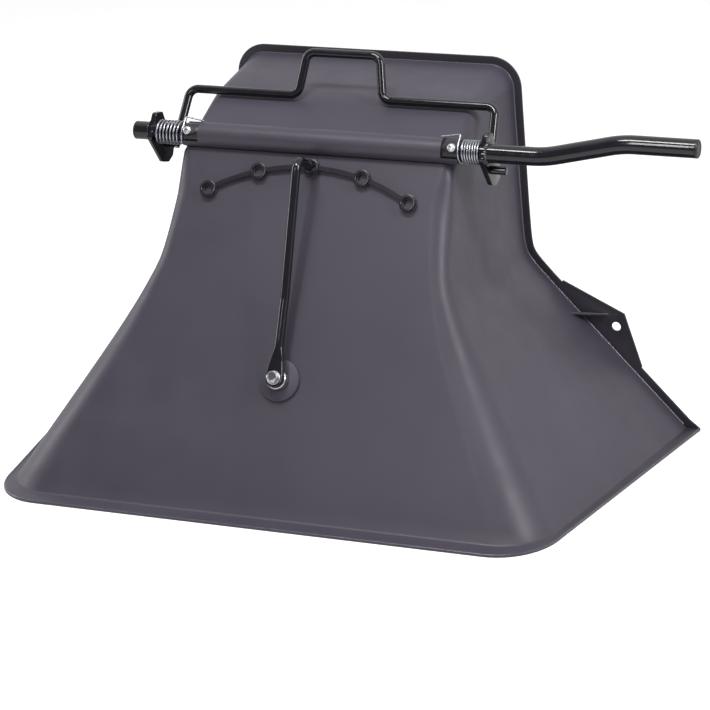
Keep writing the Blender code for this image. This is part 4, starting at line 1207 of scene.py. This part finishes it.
def lever_section(up):
    """Half-width, half-thickness and squareness of the lever's section this far up from the bolt."""
    if up < 0:
        return math.sqrt(max(EYE_RADIUS**2 - up**2, 1e-7)), EYE_THICKNESS / 2, EYE_SQUARENESS
    width = EYE_RADIUS + (LEVER_RADIUS - EYE_RADIUS) * eased(up, 0.0, EYE_NECK + 0.006)
    thickness = EYE_THICKNESS / 2 + (LEVER_RADIUS - EYE_THICKNESS / 2) * eased(up, 0.016, EYE_NECK + 0.008)
    squareness = EYE_SQUARENESS - (EYE_SQUARENESS - 2) * eased(up, 0.014, EYE_NECK + 0.004)
    return width, thickness, squareness


def adjusting_lever(surface):
    """The lever as one forged piece: a flat eye that turns into a round rod, whose tip hooks over a boss."""
    low = eye_low()
    middle = low + EYE_THICKNESS / 2
    corners = [
        (0, -EYE_RADIUS, middle),
        (0, EYE_RADIUS + 0.010, middle),
        (0, LEVER_KNEE_UP, LEVER_KNEE_HEIGHT),
        (0, BOSS_ARC_RADIUS, LEVER_TOP_HEIGHT),
        (0, BOSS_ARC_RADIUS, BOSS_HEIGHT + LEVER_TIP_CLEARANCE),
    ]
    bent = rounded(corners, LEVER_BEND_RADIUS, 16, closed=False)
    path, lengths = resampled(bent, LEVER_SPACING)
    points = []
    for place, (centre, length) in enumerate(zip(path, lengths)):
        tangent = (path[min(place + 1, len(path) - 1)] - path[max(place - 1, 0)]).normalized()
        normal = Vector((1, 0, 0)).cross(tangent)
        width, thickness, squareness = lever_section(length - EYE_RADIUS)
        end = 1 - 0.25 * (1 - min((lengths[-1] - length) / LEVER_TIP_SOFTNESS, 1)) ** 2
        for x, y in circle(1, ROD_SIDES):
            across = math.copysign(abs(x) ** (2 / squareness), x)
            out = math.copysign(abs(y) ** (2 / squareness), y)
            points.append(centre + Vector((across * width * end, 0, 0)) + normal * (out * thickness * end))
    made = mesh_object("lever_arm", [closed_bar(points, ROD_SIDES)], panel_place())
    hole = cylinder(BOLT_RADIUS + CLEARANCE, low - THROUGH, low + EYE_THICKNESS + THROUGH, 40)
    cut(made, [hole], panel_place())
    finished(made, surface, "vane_lever", "black_paint", "adjusting_lever")


def bolt_ring(name, node, radius, low, height, edge, surface):
    """A ring on the bolt, such as a washer, with its edges turned off."""
    bore = BOLT_RADIUS + CLEARANCE
    high = low + height
    profile = [(bore, low), (radius - edge, low), (radius, low + edge), (radius, high - edge)]
    profile += [(radius - edge, high), (bore + edge, high), (bore, high - edge)]
    finished(mesh_object(name, [turned(profile)], panel_place()), surface, "vane_lever", "zinc", node)


def chamfered_hexagon(name, low, high, at_low, at_high):
    """A hexagon prism whose corners are turned off at the ends asked for."""
    made = mesh_object(name, [prism(hexagon(BOLT_HEAD_FLATS), low, high)], panel_place())
    outer = BOLT_HEAD_FLATS / math.sqrt(3) + 0.0002
    inner = 0.485 * BOLT_HEAD_FLATS
    profile = [(0, low - 0.001 * (not at_low))]
    profile += [(inner, low), (outer, low + HEXAGON_CUT)] if at_low else [(outer, low - 0.001)]
    profile += [(outer, high - HEXAGON_CUT), (inner, high)] if at_high else [(outer, high + 0.001)]
    profile.append((0, high + 0.001 * (not at_high)))
    boolean(made, "INTERSECT", [turned(profile)], panel_place())
    return made


def lever_bolt(surface, dish_surface):
    """The bolt with a shallow dish in its head and a thread at its inner end."""
    seat = eye_low() + EYE_THICKNESS + WASHER_THICKNESS + 2 * CLEARANCE
    top = seat + BOLT_HEAD_HEIGHT
    made = chamfered_hexagon("hexagon_bolt", seat, top, False, True)
    floor = top - BOLT_DISH_DEPTH
    dish = [(0, floor), (BOLT_DISH_RADIUS - 0.001, floor), (BOLT_DISH_RADIUS, top + 0.0001)]
    cut(made, [turned(dish + [(BOLT_DISH_RADIUS, top + 0.001), (0, top + 0.001)])], panel_place())
    tail = nut_top() - NUT_HEIGHT - BOLT_TAIL
    profile = [(0, tail), (BOLT_RADIUS - 0.0012, tail), (BOLT_RADIUS - 0.0002, tail + 0.001)]
    for turn in range(int((BOLT_TAIL + NUT_HEIGHT) / THREAD_PITCH)):
        height = tail + 0.001 + turn * THREAD_PITCH
        profile.append((BOLT_RADIUS, height + 0.2 * THREAD_PITCH))
        profile.append((BOLT_RADIUS - THREAD_DEPTH, height + 0.7 * THREAD_PITCH))
    profile.append((BOLT_RADIUS, profile[-1][1] + 0.3 * THREAD_PITCH))
    profile += [(BOLT_RADIUS, seat + 0.002), (0, seat + 0.002)]
    join(made, [turned(profile, 40)], panel_place())
    finished(made, surface, "vane_lever", "zinc", "lever_bolt")
    # The dish's floor gets the darker zinc, a painted shade
    made.data.materials.append(dish_surface)
    to_panel = (body_place() @ panel_place()).inverted()
    for face in made.data.polygons:
        centre = to_panel @ face.center
        if centre.z > top - 1.2 * BOLT_DISH_DEPTH and centre.xy.length < BOLT_DISH_RADIUS - 0.0003:
            face.material_index = 1


def vane_nut(surface, ring_surface):
    """The lock nut with its round collar, and the nylon ring in it."""
    high = nut_top()
    low = high - NUT_HEIGHT
    made = chamfered_hexagon("lock_nut", low + NUT_HEXAGON_START, high, True, True)
    rim = low + NUT_COLLAR_HEIGHT
    profile = [(0, low), (NUT_COLLAR_RADIUS - 0.0005, low), (NUT_COLLAR_RADIUS, low + 0.0004)]
    profile += [(NUT_COLLAR_RADIUS, rim), (0, rim)]
    join(made, [turned(profile)], panel_place())
    bore = BOLT_RADIUS + CLEARANCE
    cut(made, [cylinder(bore, low - THROUGH, high + THROUGH, 40)], panel_place())
    finished(made, surface, "vane_lever", "zinc", "vane_nut")
    ring = collar(bore, NUT_RING_RADIUS, low - 0.0003, low - 0.00005, 48)
    finished(mesh_object("nut_ring", [ring], panel_place()), ring_surface, "vane_lever", "vane_plastic")


def guide_vane(surface):
    """A blade on a square base, which the bolt turns. The blade is notched round the nut."""
    top = vane_base_top()
    low = top - VANE_BASE_THICKNESS
    half = VANE_BASE_WIDTH / 2
    corners = [(half, half, 0), (-half, half, 0), (-half, -half, 0), (half, -half, 0)]
    outline = [(point.x, point.y) for point in rounded(corners, VANE_CORNER_RADIUS, 10)]
    made = mesh_object("swinging_vane", [prism(outline, low, top)], panel_place())
    root = low + VANE_BASE_THICKNESS / 2
    notch = low - VANE_NOTCH_DEPTH
    edge = low - VANE_DEPTH
    blade = [(-VANE_DOWN, low - VANE_FOOT_DROP), (-VANE_DOWN, edge), (VANE_UP - VANE_SLANT, edge)]
    blade += [(VANE_UP, low - VANE_TIP_LOW), (VANE_UP, low - VANE_TIP_DROP), (VANE_NOTCH_HALF, root)]
    blade += [(VANE_NOTCH_HALF, notch), (-VANE_NOTCH_HALF, notch), (-VANE_NOTCH_HALF, root)]
    stand = Matrix(((0, 0, 1, 0), (1, 0, 0, 0), (0, 1, 0, 0), (0, 0, 0, 1)))
    join(made, [moved(prism(blade, -VANE_THICKNESS / 2, VANE_THICKNESS / 2), stand)], panel_place())
    cut(made, [cylinder(BOLT_RADIUS + CLEARANCE, low - THROUGH, top + THROUGH, 40)], panel_place())
    soft_edges(made, VANE_EDGE)
    finished(made, surface, "vane_lever", "vane_plastic", "guide_vane")


def added(tree, kind, inputs, operation=None):
    """Adds a node and gives its outputs. Each input named gets a value, or a link from another node."""
    node = tree.nodes.new("ShaderNode" + kind)
    if operation:
        node.operation = operation
    if kind == "Mix":
        node.data_type = "RGBA"
    for key, value in inputs.items():
        if isinstance(value, bpy.types.NodeSocket):
            tree.links.new(value, node.inputs[key])
        else:
            node.inputs[key].default_value = value
    return node.outputs


class Shader:
    """A Principled material under construction, with the few nodes that these materials use."""

    def __init__(self, name, roughness, metallic=0.0):
        self.material = bpy.data.materials.new(name)
        self.material.use_nodes = True
        self.tree = self.material.node_tree
        self.principled = self.tree.nodes["Principled BSDF"]
        self.principled.inputs["Roughness"].default_value = roughness
        self.principled.inputs["Metallic"].default_value = metallic
        self.coordinates = added(self.tree, "TexCoord", {})["Object"]

    def noise(self, scale, detail=3.0, stretch=(1, 1, 1)):
        """Noise with features of about 1 / scale metres."""
        mapped = added(self.tree, "Mapping", {"Vector": self.coordinates, "Scale": stretch})["Vector"]
        return added(self.tree, "TexNoise", {"Vector": mapped, "Scale": scale, "Detail": detail})["Fac"]

    def spread(self, value, low, high, start=0.3, end=0.7):
        """The value's part from start to end, stretched over low to high."""
        ends = {"From Min": start, "From Max": end, "To Min": low, "To Max": high}
        return added(self.tree, "MapRange", {"Value": value, **ends})["Result"]

    def along(self, row):
        """The place along a direction: a row of a matrix that turns object coordinates into it."""
        place = added(self.tree, "VectorMath", {0: self.coordinates, 1: row[:3]}, "DOT_PRODUCT")["Value"]
        return added(self.tree, "Math", {0: place, 1: row[3]}, "ADD")["Value"]

    def product(self, first, second):
        return added(self.tree, "Math", {0: first, 1: second}, "MULTIPLY")["Value"]

    def mixed(self, share, *colours):
        """A blend of two colours, each a tuple or another node's output."""
        first, second = ((*colour, 1) if isinstance(colour, tuple) else colour for colour in colours)
        return added(self.tree, "Mix", {"Factor": share, 6: first, 7: second})[2]

    def feed(self, name, value):
        """Links the value to the named input of the Principled node."""
        self.tree.links.new(value, self.principled.inputs[name])

    def colours(self, value, first, second):
        self.feed("Base Color", self.mixed(self.spread(value, 0.0, 1.0), first, second))

    def rough(self, value, low, high):
        self.feed("Roughness", self.spread(value, low, high))

    def bump(self, *heights):
        """Adds bumps from (value, height in metres) pairs, one on the other."""
        under = {}
        for value, height in heights:
            inputs = {"Strength": 1.0, "Distance": height, "Height": value, **under}
            under = {"Normal": added(self.tree, "Bump", inputs)["Normal"]}
        self.feed("Normal", under["Normal"])


def hood_plastic():
    """Dark grey polyethylene: a fine satin grain and faint flow marks. The flange and the side lips are
    coloured darker as painted shade, and the polished bosses and ribs get a darker painted shade too."""
    made = Shader("hood_plastic", 0.46)
    made.principled.inputs["Specular IOR Level"].default_value = 0.42
    flow = made.spread(made.noise(7.0, 4.0), 0.0, 1.0)
    shade = made.mixed(flow, (0.043, 0.037, 0.054), (0.053, 0.046, 0.066))
    to_panel = (body_place() @ panel_place()).inverted()
    up_panel = made.along(to_panel[1])
    # Mask of the bosses and ribs: painted shade (a darker colour) and a lower roughness
    raised = made.spread(made.along(to_panel[2]), 0.0, 1.0, 0.0044, 0.0052)
    over_pad = made.spread(up_panel, 0.0, 1.0, 0.030, 0.032)
    below_tube = made.spread(up_panel, 1.0, 0.0, BOSS_ARC_RADIUS + 0.012, BOSS_ARC_RADIUS + 0.014)
    boss_gloss_and_shade = made.product(made.product(raised, over_pad), below_tube)
    # Painted shade: the rear flange is coloured darker than the rest of the hood
    back = made.along((0, 1, 0, 0))
    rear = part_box("hood")[1][1] - FLANGE_THICKNESS
    flange = made.spread(back, 0.0, 1.0, rear - 0.0008, rear - 0.0002)
    # Painted shade: the lip along the sides is coloured darker
    low = made.spread(made.along((0, 0, 1, 0)), 1.0, 0.0, LIP_THICKNESS + 0.0002, LIP_THICKNESS + 0.0010)
    side_lip_shade = made.product(low, made.spread(back, 0.0, 1.0, -0.19, -0.11))
    # The base tone is mixed to the painted shade colours of the side lips and then the flange
    darker = made.mixed(flange, made.mixed(side_lip_shade, shade, (0.026, 0.023, 0.032)), (0.022, 0.020, 0.027))
    # The bosses and ribs are mixed to their painted shade colour
    made.feed("Base Color", made.mixed(boss_gloss_and_shade, darker, (0.016, 0.015, 0.020)))
    grain = made.spread(made.noise(30.0, 4.0), 0.40, 0.50)
    made.feed("Roughness", made.mixed(boss_gloss_and_shade, grain, (0.24, 0.24, 0.24)))
    made.bump((made.noise(14.0, 2.0), 0.0004), (made.noise(1100.0, 2.0), 0.00004))
    return made.material


def highlit_rim_plastic():
    """The hood's plastic where the mould's edge left it smooth, coloured lighter than the hood as a painted
    highlight.
    """
    made = Shader("highlit_rim_plastic", 0.25)
    # Painted highlight: lighter than the hood's plastic, so the beads read as light lines
    made.colours(made.noise(12.0, 4.0), (0.060, 0.052, 0.070), (0.085, 0.076, 0.098))
    made.rough(made.noise(60.0, 4.0), 0.18, 0.32)
    made.bump((made.noise(700.0, 2.0), 0.00003))
    return made.material


def black_paint():
    """Glossy black powder coat with a slight orange peel."""
    made = Shader("black_paint", 0.2)
    made.colours(made.noise(40.0), (0.006, 0.0055, 0.009), (0.010, 0.009, 0.014))
    made.rough(made.noise(120.0, 4.0), 0.06, 0.14)
    made.bump((made.noise(330.0, 2.0), 0.00004))
    return made.material


def black_plastic():
    """Black moulded nylon with a soft shine."""
    made = Shader("black_plastic", 0.4)
    made.colours(made.noise(90.0), (0.007, 0.007, 0.008), (0.012, 0.012, 0.013))
    made.rough(made.noise(260.0, 4.0), 0.34, 0.48)
    made.bump((made.noise(900.0, 2.0), 0.00003))
    return made.material


def zinc():
    """Bright zinc plate with fine mottling."""
    made = Shader("zinc", 0.28, 1.0)
    made.colours(made.noise(420.0, 4.0), (0.52, 0.53, 0.56), (0.70, 0.70, 0.70))
    made.rough(made.noise(700.0, 4.0), 0.22, 0.38)
    made.bump((made.noise(1500.0, 3.0), 0.00002))
    return made.material


def shaded_dish_zinc():
    """The grey floor of the bolt's dish, coloured darker than the zinc as painted shade."""
    made = Shader("shaded_dish_zinc", 0.5, 0.6)
    made.colours(made.noise(900.0, 4.0), (0.05, 0.05, 0.06), (0.12, 0.12, 0.13))
    made.rough(made.noise(1200.0, 3.0), 0.50, 0.70)
    made.bump((made.noise(1400.0, 3.0), 0.00008))
    return made.material


def spring_steel():
    """Drawn spring wire with fine lines along it."""
    made = Shader("spring_steel", 0.3, 1.0)
    made.colours(made.noise(600.0, 4.0), (0.32, 0.33, 0.37), (0.46, 0.47, 0.52))
    made.rough(made.noise(900.0, 3.0), 0.22, 0.36)
    made.bump((made.noise(1800.0, 2.0, (0.2, 1, 1)), 0.00002))
    return made.material


def vane_plastic():
    """Black moulded plastic of the vane, a little scratched by what it steers."""
    made = Shader("vane_plastic", 0.5)
    made.colours(made.noise(60.0, 5.0), (0.020, 0.019, 0.022), (0.040, 0.039, 0.043))
    made.rough(made.noise(180.0, 5.0, (1, 1, 0.15)), 0.40, 0.62)
    made.bump((made.noise(900.0, 3.0, (1, 1, 0.1)), 0.00006))
    return made.material


def ring_nylon():
    """Pale nylon of the lock nut's insert."""
    made = Shader("ring_nylon", 0.4)
    made.colours(made.noise(300.0), (0.62, 0.64, 0.60), (0.74, 0.75, 0.70))
    made.bump((made.noise(1200.0), 0.00002))
    return made.material


def floor_paint():
    """Pale studio floor. Camera and mirror rays get a little light of its own, so that it shows as white."""
    made = Shader("floor_paint", 0.9)
    made.colours(made.noise(3.0), (0.80, 0.80, 0.80), (0.82, 0.82, 0.82))
    made.principled.inputs["Specular IOR Level"].default_value = 0.0
    rays = added(made.tree, "LightPath", {})
    seen = made.spread(rays["Is Camera Ray"], 0.0, FLOOR_LIFT, 0.0, 1.0)
    mirrored = made.spread(rays["Is Glossy Ray"], 0.0, FLOOR_MIRROR, 0.0, 1.0)
    made.principled.inputs["Emission Color"].default_value = (1, 1, 1, 1)
    made.feed("Emission Strength", added(made.tree, "Math", {0: seen, 1: mirrored}, "MAXIMUM")["Value"])
    return made.material


def studio_floor():
    bpy.ops.mesh.primitive_plane_add(size=FLOOR_SIZE, location=(0, 0, -0.0005))
    floor = bpy.context.object
    floor.name = "studio_floor"
    floor.data.materials.append(floor_paint())


def studio_world():
    """White to the camera. Mirror rays see the same white sweep behind the object and a dimmer room in
    front of it, and every other ray gets a plain pale light."""
    world = bpy.data.worlds.new("studio")
    bpy.context.scene.world = world
    world.use_nodes = True
    tree = world.node_tree

    def combined(operation, first, second):
        return added(tree, "Math", {0: first, 1: second}, operation)["Value"]

    rays = added(tree, "LightPath", {})
    generated = added(tree, "TexCoord", {})["Generated"]
    depth = added(tree, "SeparateXYZ", {"Vector": generated})["Y"]
    ends = {"From Min": -0.50, "From Max": 0.05, "To Min": ROOM_LIGHT}
    sweep = added(tree, "MapRange", {"Value": depth, **ends})["Result"]
    sweep.node.interpolation_type = "SMOOTHSTEP"
    mirrored = combined("MULTIPLY", rays["Is Glossy Ray"], sweep)
    seen = combined("MAXIMUM", rays["Is Camera Ray"], rays["Is Transmission Ray"])
    strength = combined("MAXIMUM", combined("MAXIMUM", seen, mirrored), WORLD_LIGHT)
    background = tree.nodes["Background"]
    tree.links.new(strength, background.inputs["Strength"])
    background.inputs["Color"].default_value = (1, 1, 1, 1)


def soft_box(name, place, target, size, power):
    light = bpy.data.lights.new(name, "AREA")
    light.shape = "RECTANGLE"
    light.size, light.size_y = size
    light.energy = power
    made = bpy.data.objects.new(name, light)
    bpy.context.scene.collection.objects.link(made)
    made.location = place
    made.rotation_euler = (Vector(target) - Vector(place)).to_track_quat("-Z", "Y").to_euler()


def camera():
    """Stands where the photographer stood, a little rolled, with a long lens."""
    yaw, tilt, roll = CAMERA_YAW, CAMERA_ELEVATION, CAMERA_ROLL
    back = Vector((math.sin(yaw) * math.cos(tilt), -math.cos(yaw) * math.cos(tilt), math.sin(tilt)))
    level = Vector((math.cos(yaw), math.sin(yaw), 0))
    above = back.cross(level)
    right = level * math.cos(roll) + above * math.sin(roll)
    up = above * math.cos(roll) - level * math.sin(roll)
    place = body_place() @ Vector(CAMERA_PLACE)
    lens = bpy.data.cameras.new("camera")
    lens.sensor_width = SENSOR_WIDTH_MM
    lens.lens = CAMERA_FOCAL_PIXELS * SENSOR_WIDTH_MM / PHOTO_WIDTH_PIXELS
    lens.clip_end = 50
    made = bpy.data.objects.new("camera", lens)
    made.matrix_world = Matrix.Translation(place) @ Matrix((right, up, back)).transposed().to_4x4()
    bpy.context.scene.collection.objects.link(made)
    bpy.context.scene.camera = made


def build():
    plastic, paint, black = hood_plastic(), black_paint(), black_plastic()
    bright, steel = zinc(), spring_steel()
    hood(plastic)
    # The beads' lighter plastic is a painted highlight
    smooth = highlit_rim_plastic()
    rim_bead(smooth)
    lip_bead(smooth)
    pivot_tube(paint)
    right_end = Matrix.Translation((TUBE_RIGHT_END, 0, CRANK_RISE)) @ along_x()
    left_end = Matrix.Translation((-TUBE_LEFT_END, 0, 0)) @ along_x().inverted()
    tube_plug("end_plug_right", "tube_plug_right", right_end, black)
    tube_plug("end_plug_left", "tube_plug_left", left_end, black)
    for word, side in (("left", -1), ("right", 1)):
        gusset_bead(f"gusset_edge_{word}", side, smooth)
        latch_plate(f"plate_{word}", f"latch_plate_{word}", side, paint)
        weld_ring(f"tube_weld_{word}", side, paint)
        bail_weld(f"bail_weld_{word}", side, paint)
        bearing_bush(f"bush_{word}", f"bearing_bush_{word}", side, black)
        bush_screw(f"screw_{word}", f"bush_screw_{word}", side, bright)
        torsion_spring(f"spring_{word}", f"torsion_spring_{word}", side, steel)
    latch_peg(paint)
    pull_bail(paint)
    adjusting_lever(paint)
    spacer_low = PAD_HEIGHT + CLEARANCE
    bolt_ring("spacer_sleeve", "lever_spacer", SPACER_RADIUS, spacer_low, SPACER_HEIGHT, SPACER_EDGE, bright)
    outer = eye_low() + EYE_THICKNESS + CLEARANCE
    inner = -WALL - CLEARANCE - WASHER_THICKNESS
    for name, node, low in (("top_washer", "lever_washer", outer), ("inner_washer", "vane_washer", inner)):
        bolt_ring(name, node, WASHER_RADIUS, low, WASHER_THICKNESS, WASHER_EDGE, bright)
    lever_bolt(bright, shaded_dish_zinc())
    vane_nut(bright, ring_nylon())
    guide_vane(vane_plastic())


def studio():
    studio_world()
    studio_floor()
    soft_box("key_top", (0.0, -0.95, 2.75), (0, -0.1, 0.3), (1.6, 0.5), 58)
    soft_box("strip_front", (-0.35, -2.15, 1.80), (-0.03, -0.1, 0.25), (0.22, 0.9), 9)
    soft_box("strip_right", (2.55, -0.55, 1.80), (0.1, 0, 0.2), (0.4, 1.4), 46)
    soft_box("strip_left", (-2.6, 0.05, 0.95), (-0.15, 0, 0.2), (0.5, 1.6), 15)
    camera()
    bpy.context.scene.view_settings.view_transform = "Standard"


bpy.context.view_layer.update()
build()
studio()
